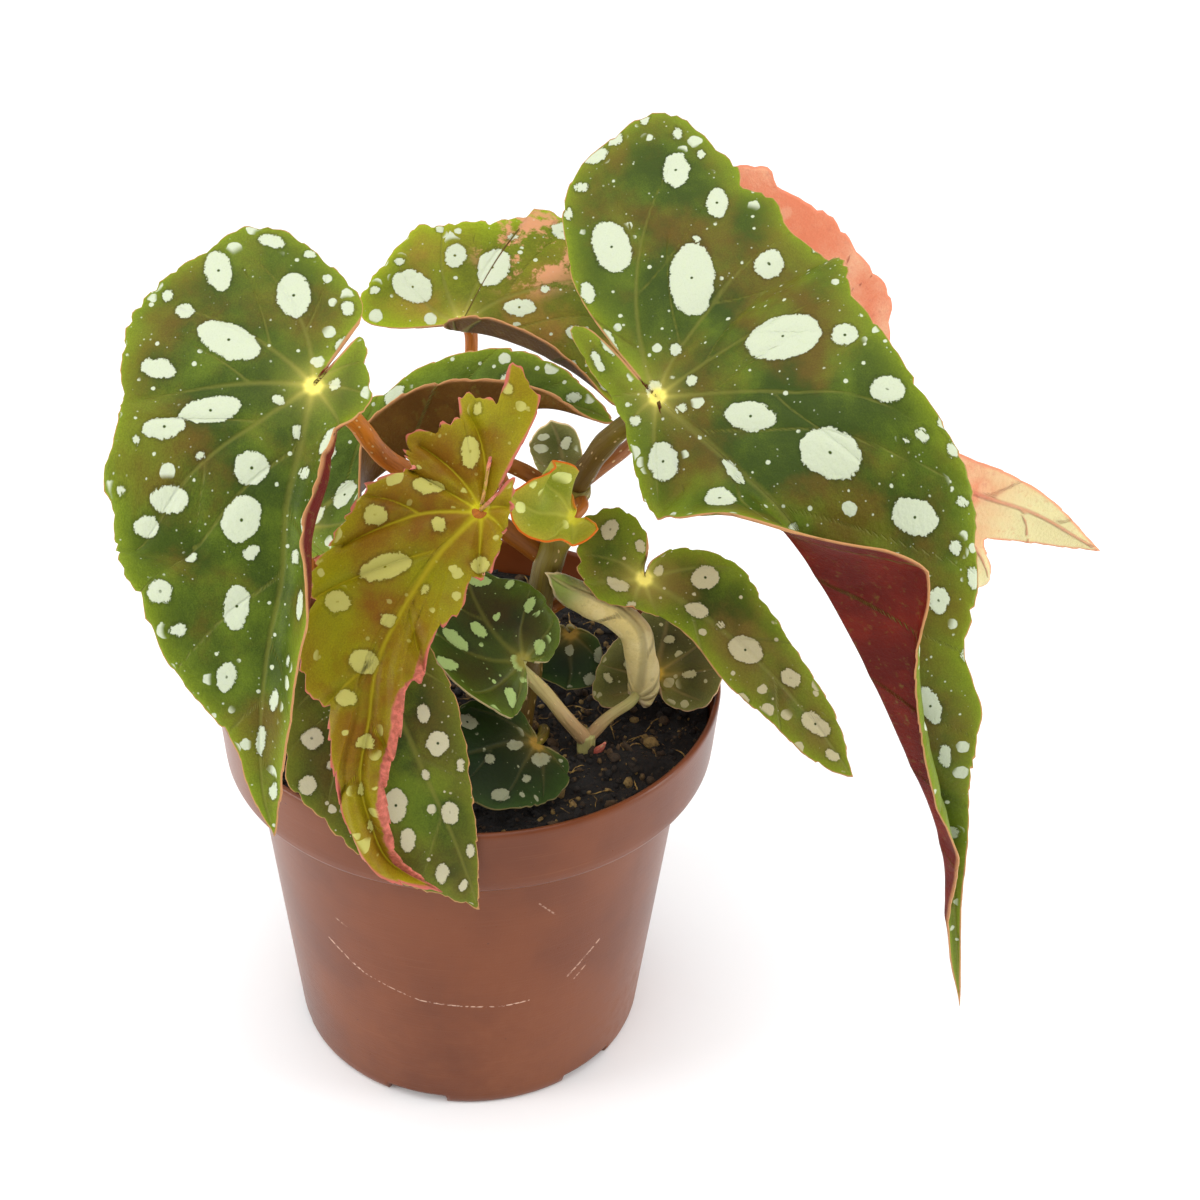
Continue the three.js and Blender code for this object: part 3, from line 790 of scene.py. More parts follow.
@dataclass(frozen=True)
class LeafSkin:
    """The finish of a leaf's upper face, its underside and its margin.

    Attributes:
        deep: colour of the green areas.
        bronze: colour of the brownish areas.
        bright: colour of the lightest green areas.
        rim: colour towards the margin.
        line: colour of the very edge.
        dot: colour of the dots.
        vein: colour of the main veins.
        heart: colour at the petiole point.
        under: colour of the underside.
        under_light: colour of its paler areas.
        bronzed: share of the face that is brownish.
        rim_width: millimetres over which the margin's colour fades.
        speckle: how many small dots there are, from 0 to 1.
        glow: painted glow, a share of the colour given out as light in place of light that comes through.
        line_width: millimetres that the edge's line is wide.
        vein_strength: how far the veins take their colour.
        roughness: of the upper face.
        tip: colour of the underside towards the tip, if it differs.
        tip_span: millimetres from the petiole point over which that colour comes in.
        fold: colour of the narrow half's edge where its underside shows, if it does.
        burn: colour of dry blotches on the upper face, if it has them.
        burn_place: the middle of those blotches, along the midrib and out from it.
        burn_reach: distances from there at which they are gone and at which they are full.
    """

    deep: Colour
    bronze: Colour
    bright: Colour
    rim: Colour
    line: Colour
    dot: Colour
    vein: Colour
    heart: Colour
    under: Colour
    under_light: Colour
    bronzed: float = 0.5
    rim_width: float = 3.0
    speckle: float = 1.0
    glow: float = 0.0
    line_width: float = 0.42
    vein_strength: float = 0.5
    roughness: float = 0.48
    tip: Colour | None = None
    tip_span: tuple[float, float] = (40.0, 85.0)
    fold: Colour | None = None
    burn: Colour | None = None
    burn_place: tuple[float, float] = (10.0, 22.0)
    burn_reach: tuple[float, float] = (15.0, 6.0)

    def upper(self, name: str) -> bpy.types.Material:
        """The upper face's material: mottled green, with the margin, veins and dots over it.

        Args:
            name: the material's name.

        Returns:
            The material.
        """
        paint = Paint(name)
        flat = paint.marks("flat")
        edge, vein, spot = paint.mark("edge"), paint.mark("vein"), paint.mark("spot")
        core = paint.length(paint.marks("core"))
        heart = paint.length(paint.scaled(flat, (1, 1, 0)))
        coarse = paint.noise(flat, 0.045, 3.0)
        fine = paint.noise(flat, 0.9, 4.0, 0.65)
        grain = paint.noise(flat, 3.2, 3.0, 0.7)

        tone = paint.mix(self.deep, self.bronze, (coarse + fine * 0.12).step(
            0.72 - 0.42 * self.bronzed, 0.92 - 0.42 * self.bronzed))
        light = (paint.noise(flat, 0.08, 4.0) + grain * 0.2).step(0.46, 0.88)
        tone = paint.mix(tone, self.bright, light * 0.72)
        tone = paint.mix(tone, self.rim, (edge + (fine - 0.5) * 2.5).most(0.0).fall(self.rim_width) * 0.9)
        lit = paint.mix(Colour.grey(0.25), Colour.grey(0.75), grain.step(0.2, 0.8))
        tone = paint.mix(tone, lit, 0.35, "OVERLAY")
        if self.burn is not None:
            moved = paint.scaled(flat, 1.0, (-9.0, -22.0, 0.0))
            blotch = paint.noise(moved, 0.11, 5.0, 0.7).step(0.53, 0.6)
            x, s = self.burn_place
            away = paint.length(paint.scaled(flat, (1, 1, 0), (-x, -s, 0)))
            near = away.step(*self.burn_reach)
            tone = paint.mix(tone, self.burn, blotch * near)
        rib = (vein + (fine - 0.5) * 0.5).step(1.15, 0.1)
        tone = paint.mix(tone, self.vein, rib * self.vein_strength)

        wobble = (paint.noise(flat, 0.45, 2.0) - 0.5) * 1.5 + (paint.noise(flat, 2.0, 3.0, 0.7) - 0.5) * 1.3
        large = spot + wobble
        away = (spot + 1.0).step(0.2, -0.8)
        pushed = paint.pushed(flat, 0.6, 1.0)
        small = self._sprinkle(paint, pushed, 0.13, 0.35, (0.45, 1.6)) * away * vein.step(0.8, 1.6)
        rimmed = self._sprinkle(paint, pushed, 0.19, 0.2, (0.7, 1.8)) * away
        rimmed = rimmed * edge.step(5.5, 3.5) * edge.step(0.6, 1.3)
        tiny = self._sprinkle(paint, paint.pushed(flat, 2.0, 0.25), 0.34, 0.5, (0.18, 0.55)) * away
        speck = self._sprinkle(paint, flat, 0.8, 0.7, (0.08, 0.2)) * away * 0.8
        halo = large.step(-0.75, -0.1)
        tone = paint.mix(tone, BLACK, halo * 0.3)
        mask = large.step(-0.1, 0.14).most(small.most(rimmed)).most(tiny.most(speck) * self.speckle)
        cloudy = (grain * 0.7 + paint.noise(flat, 6.0, 2.0) * 0.4).step(0.5, 0.85)
        mottled = paint.mix(self.dot, self.bright, cloudy * 0.22)
        tone = paint.mix(tone, mottled, mask * edge.step(0.1, 0.6))
        pore = core.step(0.42, 0.2) * spot.step(1.5, 2.0)
        tone = paint.mix(tone, self.deep, pore)
        outer = (edge - (coarse - 0.5) * self.line_width).step(self.line_width, 0.1)
        tone = paint.mix(tone, self.line, outer)
        if self.fold is not None:
            along, side, _ = paint.split(flat)
            turned = (edge + (coarse - 0.5) * 5.0 + (fine - 0.5) * 1.5).step(2.3, 1.7)
            pale = paint.mix(self.fold, self.under, fine.step(0.35, 0.7))
            tone = paint.mix(tone, pale, turned * along.step(30.0, 38.0) * side.step(0.2, -0.2))
        rays = (vein.fall(1.4) * 0.5 + 0.35) * heart.fall(2.6) + heart.step(2.6, 0.7) * 0.9
        tone = paint.mix(tone, self.heart, rays)

        relief = rib * -0.3 + large.step(-0.2, 0.4) * 0.12 + paint.cells(flat, 1.15)[0] * 0.12 + fine * 0.25
        return paint.finish(
            Base_Color=tone,
            Roughness=grain * 0.2 + mask * 0.16 + (self.roughness - 0.1),
            Normal=paint.bump(relief, 0.5),
            Specular_IOR_Level=0.12,
            Subsurface_Weight=0.18,
            Subsurface_Radius=(1.0, 1.2, 0.35),
            Subsurface_Scale=0.0012,
            # Painted glow: a share of the surface's colour is given out as light.
            Emission_Color=paint.mix(BLACK, tone, self.glow),
            Emission_Strength=1.0,
        )

    def _sprinkle(self, paint: Paint, vector: Value, scale: float, empty: float,
                  sizes: tuple[float, float]) -> Value:
        """Dots of random size in some of the cells of a grid.

        Args:
            paint: the material.
            vector: where they are read.
            scale: cells per millimetre.
            empty: share of the cells without one.
            sizes: smallest and largest radius.

        Returns:
            1 on a dot and 0 off it.
        """
        distance, chance = paint.cells(vector, scale)
        radius = (chance - empty) * ((sizes[1] - sizes[0]) / (1 - empty)) + sizes[0]
        return (radius - distance).step(-0.08, 0.08) * chance.step(empty, empty + 0.01)

    def lower(self, name: str) -> bpy.types.Material:
        """The underside's material.

        Args:
            name: the material's name.

        Returns:
            The material.
        """
        paint = Paint(name)
        flat = paint.marks("flat")
        edge, vein, spot = paint.mark("edge"), paint.mark("vein"), paint.mark("spot")
        coarse = paint.noise(flat, 0.07, 4.0)
        grain = paint.noise(flat, 2.6, 3.0, 0.7)
        tone = paint.mix(self.under, self.under_light, (coarse + grain * 0.3).step(0.5, 0.95))
        tone = paint.mix(tone, self.under_light, (spot + (grain - 0.5)).step(-0.3, 0.3) * 0.35)
        if self.tip is not None:
            along, _, _ = paint.split(flat)
            reach = 0.9 * (self.tip_span[1] - self.tip_span[0])
            tone = paint.mix(tone, self.tip, (along + (coarse - 0.5) * reach).step(*self.tip_span))
        mottle = paint.noise(flat, 0.55, 4.0, 0.7)
        tone = paint.mix(tone, self.vein, mottle.step(0.55, 0.72) * 0.35)
        rib = vein.step(1.3, 0.2)
        tone = paint.mix(tone, self.vein, rib * 0.6)
        tone = paint.mix(tone, self.line, edge.step(1.1, 0.2) * 0.8)
        relief = rib * 0.9 + grain * 0.4 + paint.cells(flat, 1.0)[0] * 0.25
        return paint.finish(
            Base_Color=tone,
            Roughness=grain * 0.2 + 0.38,
            Normal=paint.bump(relief, 0.5),
            Specular_IOR_Level=0.12,
            Subsurface_Weight=0.18,
            Subsurface_Radius=(1.2, 0.8, 0.35),
            Subsurface_Scale=0.0012,
            # Painted glow: a share of the surface's colour is given out as light.
            Emission_Color=paint.mix(BLACK, tone, self.glow),
            Emission_Strength=1.0,
        )


@dataclass(frozen=True)
class Leaf:
    """One leaf: its blade, dots and finish.

    Attributes:
        node: the CAD node that it stands for, and its own name.
        slot: the record's material slot, not used here.
        blade: its shape.
        skin: its finish.
        dots: its large dots, each with a Dot's fields.
        detail: points round the margin and rings out to it.
        seed: start of its random waves.
        veins: (degrees from the midrib, share of the way to the margin) of the main side veins.
        pucker: millimetres that the blade rises between its veins.
        teeth: millimetres that the margin's teeth are deep.
        wild: most dots that the rule for unseen ones may add.
    """

    node: str
    slot: str
    blade: Blade
    skin: LeafSkin
    dots: Table = ()
    detail: tuple[int, int] = (260, 44)
    seed: int = 1
    veins: Table = ((42, 0.9), (80, 0.9), (118, 0.9), (155, 0.85), (-45, 0.9), (-95, 0.9), (-140, 0.8))
    pucker: float = 0.3
    teeth: float = 0.6
    wild: int = 26

    def vein_lines(self) -> list[tuple[Array, float]]:
        """Main and branch veins.

        A side vein leaves at its angle and bends towards the tip by a third of that angle.

        Returns:
            Flat polylines with the half-width of each at its root.
        """
        x, s, wide = self.blade.outline(400)
        signed = np.where(wide, s, -s)
        bearing = np.degrees(np.arctan2(signed, x))
        radius = np.hypot(x, s)
        length = self.blade.wide.margin[-1][0]
        lines = [(np.stack([np.linspace(0, length * 0.97, 60), np.zeros(60)], 1), 1.0)]
        for angle, share in self.veins:
            reach = radius[np.argmin(np.abs(bearing - angle))] * share
            t = np.linspace(0, 1, 40)
            turn = np.radians(angle * (1.08 - 0.3 * t))
            step = reach / 39
            line = np.cumsum(np.stack([np.cos(turn), np.sin(turn)], 1) * step, 0)
            lines.append((np.vstack([[0, 0], line]), 0.8))
        for line, width in list(lines):
            size = np.linalg.norm(np.diff(line, axis=0), axis=1).sum()
            gap = 13.0
            for k in range(1, int(size / gap)):
                root = k * gap / size
                at = int(root * (len(line) - 2))
                ahead = math.atan2(*(line[at + 1] - line[at])[::-1])
                side = 1 if k % 2 else -1
                bend = ahead + side * np.radians(42 - 16 * np.linspace(0, 1, 16))
                steps = np.stack([np.cos(bend), np.sin(bend)], -1) * (0.045 * size * (1.1 - root))
                branch = np.vstack([line[at], line[at] + np.cumsum(steps, 0)])
                lines.append((branch, width * 0.5))
        return lines

    def build(self, eye: Eye) -> bpy.types.Object:
        """Makes the leaf's mesh and materials, and stands it in for its CAD node.

        Args:
            eye: the camera, which places the measured dots.

        Returns:
            The finished piece.
        """
        count, rings = self.detail
        ox, os, wide = self.blade.outline(count)
        share = np.arange(count) / (count - 1)
        run = np.r_[0, np.cumsum(np.hypot(np.diff(ox), np.diff(os)))]
        scallop = np.abs(np.sin(run * math.pi / 7.5 + 1.4 * ripples(run[:, None], 40, self.seed)))
        depth = self.teeth * min(1.0, self.blade.length() / 60)
        teeth = depth * (1.5 * (1 - scallop) ** 1.6 + 0.35 * ripples(run[:, None], 3.0, self.seed + 5))
        ring = (np.arange(1, rings + 1) / rings) ** 0.85
        shrink = 1 - (0.3 + teeth) * (ring[:, None] ** 12) / np.maximum(np.hypot(ox, os), 5)
        x = np.r_[0, (ring[:, None] * ox * shrink).ravel()]
        s = np.r_[0, (ring[:, None] * os * shrink).ravel()]
        on_wide = np.r_[True, np.tile(wide, rings)]
        middle = self.blade.bend(x, s, on_wide)
        signed = np.stack([x, np.where(on_wide, s, -s)], 1)

        rim = np.stack([ox, np.where(wide, os, -os)], 1)
        edge = np.minimum(nearest(signed, rim)[0], 40)
        edge[1 + (rings - 1) * count:] = 0
        vein = np.full(len(x), 30.0)
        for line, width in self.vein_lines():
            gap, along = nearest(signed, line)
            vein = np.minimum(vein, gap / (width * (1.15 - 0.75 * along)))

        quads = grid_faces(rings, count, wrap=False) + 1
        fan = np.stack([np.zeros(count - 1, int), np.arange(1, count) + 1, np.arange(1, count)], 1)
        if not self.blade.wide_on_left:
            quads, fan = quads[:, ::-1], fan[:, ::-1]
        normal = self._normals(middle, quads, fan)

        ends = np.minimum(1, 5 * np.minimum(share, 1 - share))
        wave = self.blade.ruffle * ring[:, None] ** 3 * ends * np.sin(
            2 * math.pi * self.blade.ruffles * share + 0.6)
        lift = np.r_[0, wave.ravel()]
        lift = lift + self.pucker * ((1 - np.exp(-(vein / 3.0) ** 2)) - 0.6)
        lift = lift + 0.35 * self.pucker * ripples(signed, 17, self.seed) * np.exp(-edge / 9)
        middle = middle + lift[:, None] * normal
        normal = self._normals(middle, quads, fan)
        half = 0.5 * BLADE_THICKNESS * (0.9 - 0.45 * np.exp(-edge / 1.2))[:, None]
        total = len(x)
        verts = np.vstack([middle + normal * half, middle - normal * half])

        loop = np.r_[0, 1 + np.arange(rings) * count, 1 + (rings - 1) * count + np.arange(1, count),
                     (1 + np.arange(rings - 1) * count + count - 1)[::-1]]
        if self.blade.wide_on_left:
            loop = loop[::-1]
        after = np.roll(loop, -1)
        border = np.stack([loop, loop + total, after + total, after], 1)
        faces = [fan, quads, fan[:, ::-1] + total, quads[:, ::-1] + total, border]
        kinds = np.r_[np.zeros(len(fan) + len(quads)), np.ones(len(fan) + len(quads)), np.zeros(len(border))]

        marks_here = self._seen(eye, signed, on_wide)
        spot, core = self._spots(signed, marks_here + self._unseen(signed, edge, marks_here))
        flat = np.column_stack([signed, np.full(total, self.seed * 7.3)])
        marks = {"flat": flat, "edge": edge, "vein": vein, "spot": spot, "core": core}
        marks = {k: np.concatenate([v, v]) for k, v in marks.items()}
        made = make_mesh(self.node + "_look", verts, faces, marks, kinds)
        made.data.materials.append(self.skin.upper(self.node + "_upper"))
        made.data.materials.append(self.skin.lower(self.node + "_lower"))
        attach(made, "root")
        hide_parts(self.node)
        log.info("%s: %d triangles", self.node, len(made.data.loops) - 2 * len(made.data.polygons))
        return made

    @staticmethod
    def _normals(points: Array, quads: Array, fan: Array) -> Array:
        """Vertex normals of the middle surface, weighted by area.

        Args:
            points: its places.
            quads: its faces.
            fan: the triangles round the petiole point.

        Returns:
            A unit vector for each place.
        """
        total = np.zeros_like(points)
        cross = np.cross(points[quads[:, 2]] - points[quads[:, 0]], points[quads[:, 3]] - points[quads[:, 1]])
        for k in range(4):
            np.add.at(total, quads[:, k], cross)
        cross = np.cross(points[fan[:, 1]] - points[fan[:, 0]], points[fan[:, 2]] - points[fan[:, 0]])
        for k in range(3):
            np.add.at(total, fan[:, k], cross)
        return unit(total)

    def _seen(self, eye: Eye, signed: Array, on_wide: Array) -> list[Mark]:
        """The measured dots as ellipses on the flat blade.

        Near a dot, pixels = J (x, s), with J from two small steps on the blade. The dot's centre
        and axes go back through the inverse of J, whose singular values give the flat ellipse.

        Args:
            eye: the camera.
            signed: flat places, s below zero on the narrow half.
            on_wide: whether each is on the wide half.

        Returns:
            The dots that the camera sees well enough.
        """
        if not self.dots:
            return []
        pixels, depth = eye.sees(self.blade.bend(signed[:, 0], np.abs(signed[:, 1]), on_wide))
        found = []
        for dot in starmap(Dot, self.dots):
            centre = np.array([dot.across, dot.down])
            gap = np.linalg.norm(pixels - centre, axis=1)
            close = np.flatnonzero(gap < gap.min() + 1.2)
            at = close[np.argmin(depth[close])]
            x, s = signed[at]
            side = 1.0 if on_wide[at] else -1.0
            step = 0.25
            probe_x = np.array([x, x + step, x])
            probe_s = np.abs(s) + np.array([0.0, 0.0, step])
            here, beyond, out = eye.sees(self.blade.bend(probe_x, probe_s, np.full(3, on_wide[at])))[0]
            jacobian = np.stack([(beyond - here) / step, side * (out - here) / step], 1)
            if abs(np.linalg.det(jacobian)) < 1.5:
                continue
            inverse = np.linalg.inv(jacobian)
            x, s = np.array([x, s]) + inverse @ (centre - here)
            lean = math.radians(dot.lean)
            if dot.height > dot.width and abs(dot.lean) < 40:
                lean += math.pi / 2
            long, short = max(dot.width, dot.height) / 2, min(dot.width, dot.height) / 2
            axes = np.array([[math.cos(lean), math.sin(lean)], [-math.sin(lean), math.cos(lean)]])
            turn, size, _ = np.linalg.svd(inverse @ (axes * [long, short]))
            found.append(Mark(x, s, size[0], max(size[1], 0.3 * size[0]),
                              math.atan2(turn[1, 0], turn[0, 0])))
        return found

    def _unseen(self, signed: Array, edge: Array, seen: list[Mark]) -> list[Mark]:
        """Dots of random size at random places, clear of each other and of the seen ones.

        Args:
            signed: flat places to choose from.
            edge: the distance of each from the margin.
            seen: the measured dots.

        Returns:
            The added dots.
        """
        draw = np.random.default_rng(self.seed)
        found: list[Mark] = []
        for at in draw.integers(0, len(signed), 900):
            size = draw.uniform(1.3, 3.6)
            x, s = signed[at]
            clear = all(math.hypot(x - m.x, s - m.s) > 3.2 + size + m.long for m in found)
            apart = all(math.hypot(x - m.x, s - m.s) > 5.5 + size + m.long for m in seen)
            if clear and apart and edge[at] > size + 1.2 and len(found) < self.wild:
                found.append(Mark(x, s, size, size * draw.uniform(0.55, 0.9), draw.uniform(0, math.pi)))
        return found

    def _spots(self, signed: Array, dots: list[Mark]) -> tuple[Array, Array]:
        """Where each place is in the dots.

        Depth is (1 - r) / |grad r| with r = hypot(u / long, v / short) in the dot's own axes.

        Args:
            signed: flat places.
            dots: every dot.

        Returns:
            Depth inside the nearest dot, below zero outside, and the way from its centre.
        """
        spot = np.full(len(signed), -9.0)
        core = np.full((len(signed), 3), 9.0)
        for dot in dots:
            dx, ds = signed[:, 0] - dot.x, signed[:, 1] - dot.s
            u = (dx * math.cos(dot.turn) + ds * math.sin(dot.turn)) / dot.long
            v = (-dx * math.sin(dot.turn) + ds * math.cos(dot.turn)) / dot.short
            r = np.hypot(u, v)
            slope = np.hypot(u / dot.long, v / dot.short) / np.maximum(r, 1e-6)
            depth = np.clip((1 - r) / np.maximum(slope, 1 / dot.long), -9, dot.short)
            closer = depth > spot
            spot = np.where(closer, depth, spot)
            core[closer] = np.column_stack([dx, ds, np.zeros(len(dx))])[closer]
        return spot, core


TOWARDS_VIEWER = (-0.05, -0.8, 0.6)

GREEN = LeafSkin(
    deep=Colour(52, 68, 12), bronze=Colour(90, 72, 20), bright=Colour(100, 118, 26),
    rim=Colour(122, 138, 24), line=Colour(178, 128, 84), dot=Colour(190, 197, 172),
    vein=Colour(112, 112, 44), heart=Colour(238, 222, 110), under=Colour(82, 13, 3),
    under_light=Colour(110, 27, 9), bronzed=0.58, vein_strength=0.55)
# Painted shade: the green skin with every colour darkened, dots and underside too, for the small leaves low
# by the soil in the shade of the others.
DEEP_SHADE = LeafSkin(
    deep=Colour(8, 26, 8), bronze=Colour(22, 32, 8), bright=Colour(24, 44, 12), rim=Colour(48, 70, 20),
    line=Colour(120, 110, 70), dot=Colour(132, 134, 106), vein=Colour(66, 66, 34),
    heart=Colour(140, 110, 44), under=Colour(64, 28, 22), under_light=Colour(92, 48, 36))
OLIVE = LeafSkin(
    deep=Colour(56, 56, 16), bronze=Colour(84, 66, 26), bright=Colour(92, 90, 36),
    rim=Colour(120, 120, 60), line=Colour(196, 160, 120), dot=Colour(168, 162, 118),
    vein=Colour(120, 104, 60), heart=Colour(214, 176, 66), under=Colour(86, 56, 36),
    under_light=Colour(120, 84, 52))
YOUNG = LeafSkin(
    deep=Colour(120, 113, 4), bronze=Colour(116, 74, 8), bright=Colour(144, 142, 8),
    rim=Colour(148, 134, 16), line=Colour(184, 96, 84), dot=Colour(178, 172, 92),
    vein=Colour(158, 142, 16), heart=Colour(196, 186, 24), under=Colour(206, 112, 96),
    under_light=Colour(232, 156, 134), bronzed=0.71, speckle=0.5, line_width=0.75,
    fold=Colour(156, 84, 66), vein_strength=0.9, rim_width=2.0)
LIME = LeafSkin(
    deep=Colour(108, 124, 22), bronze=Colour(126, 124, 36), bright=Colour(134, 148, 38),
    rim=Colour(176, 160, 50), line=Colour(196, 96, 22), dot=Colour(206, 212, 130),
    vein=Colour(158, 160, 60), heart=Colour(196, 190, 50), under=Colour(150, 160, 62),
    under_light=Colour(178, 182, 88), speckle=0.25, line_width=0.7)
PALE = LeafSkin(
    deep=Colour(62, 80, 30), bronze=Colour(100, 98, 54), bright=Colour(108, 118, 66),
    rim=Colour(160, 158, 98), line=Colour(214, 190, 150), dot=Colour(214, 222, 190),
    vein=Colour(150, 136, 90), heart=Colour(230, 220, 130), under=Colour(206, 186, 118),
    under_light=Colour(232, 216, 158), tip=Colour(128, 142, 66), tip_span=(33.0, 43.0))
PINK = LeafSkin(
    deep=Colour(110, 120, 50), bronze=Colour(140, 110, 60), bright=Colour(150, 150, 80),
    rim=Colour(170, 160, 70), line=Colour(214, 130, 100), dot=Colour(230, 226, 190),
    vein=Colour(188, 100, 80), heart=Colour(240, 220, 130), under=Colour(216, 128, 94),
    under_light=Colour(226, 178, 142), glow=0.01, tip=Colour(206, 196, 144))


YELLOWED = replace(
    GREEN, deep=Colour(84, 90, 12), bronze=Colour(132, 98, 38), bright=Colour(118, 128, 20),
    rim=Colour(146, 164, 20), under=Colour(80, 56, 22), under_light=Colour(104, 76, 36),
    burn=Colour(196, 140, 100))
ARCHED = replace(
    GREEN, bright=Colour(104, 128, 40), under=Colour(86, 56, 14), under_light=Colour(114, 82, 28),
    bronzed=0.2)
BRONZED = replace(
    GREEN, deep=Colour(46, 56, 12), bronze=Colour(98, 76, 32), bronzed=0.8, dot=Colour(178, 168, 132))
SHADED = replace(
    GREEN, deep=Colour(34, 48, 12), bronze=Colour(78, 66, 22), rim=Colour(104, 110, 28), bronzed=0.6,
    dot=Colour(182, 176, 146))
# Painted shade: the green skin darkened, dots, rim and heart too, for the inside of the cupped leaf.
BOWL_SHADE = replace(
    GREEN, deep=Colour(24, 31, 5), bronze=Colour(46, 35, 8), bright=Colour(52, 72, 16),
    rim=Colour(84, 106, 24), bronzed=0.8, dot=Colour(150, 172, 104), line=Colour(168, 150, 110),
    heart=Colour(128, 120, 48), vein_strength=0.3)


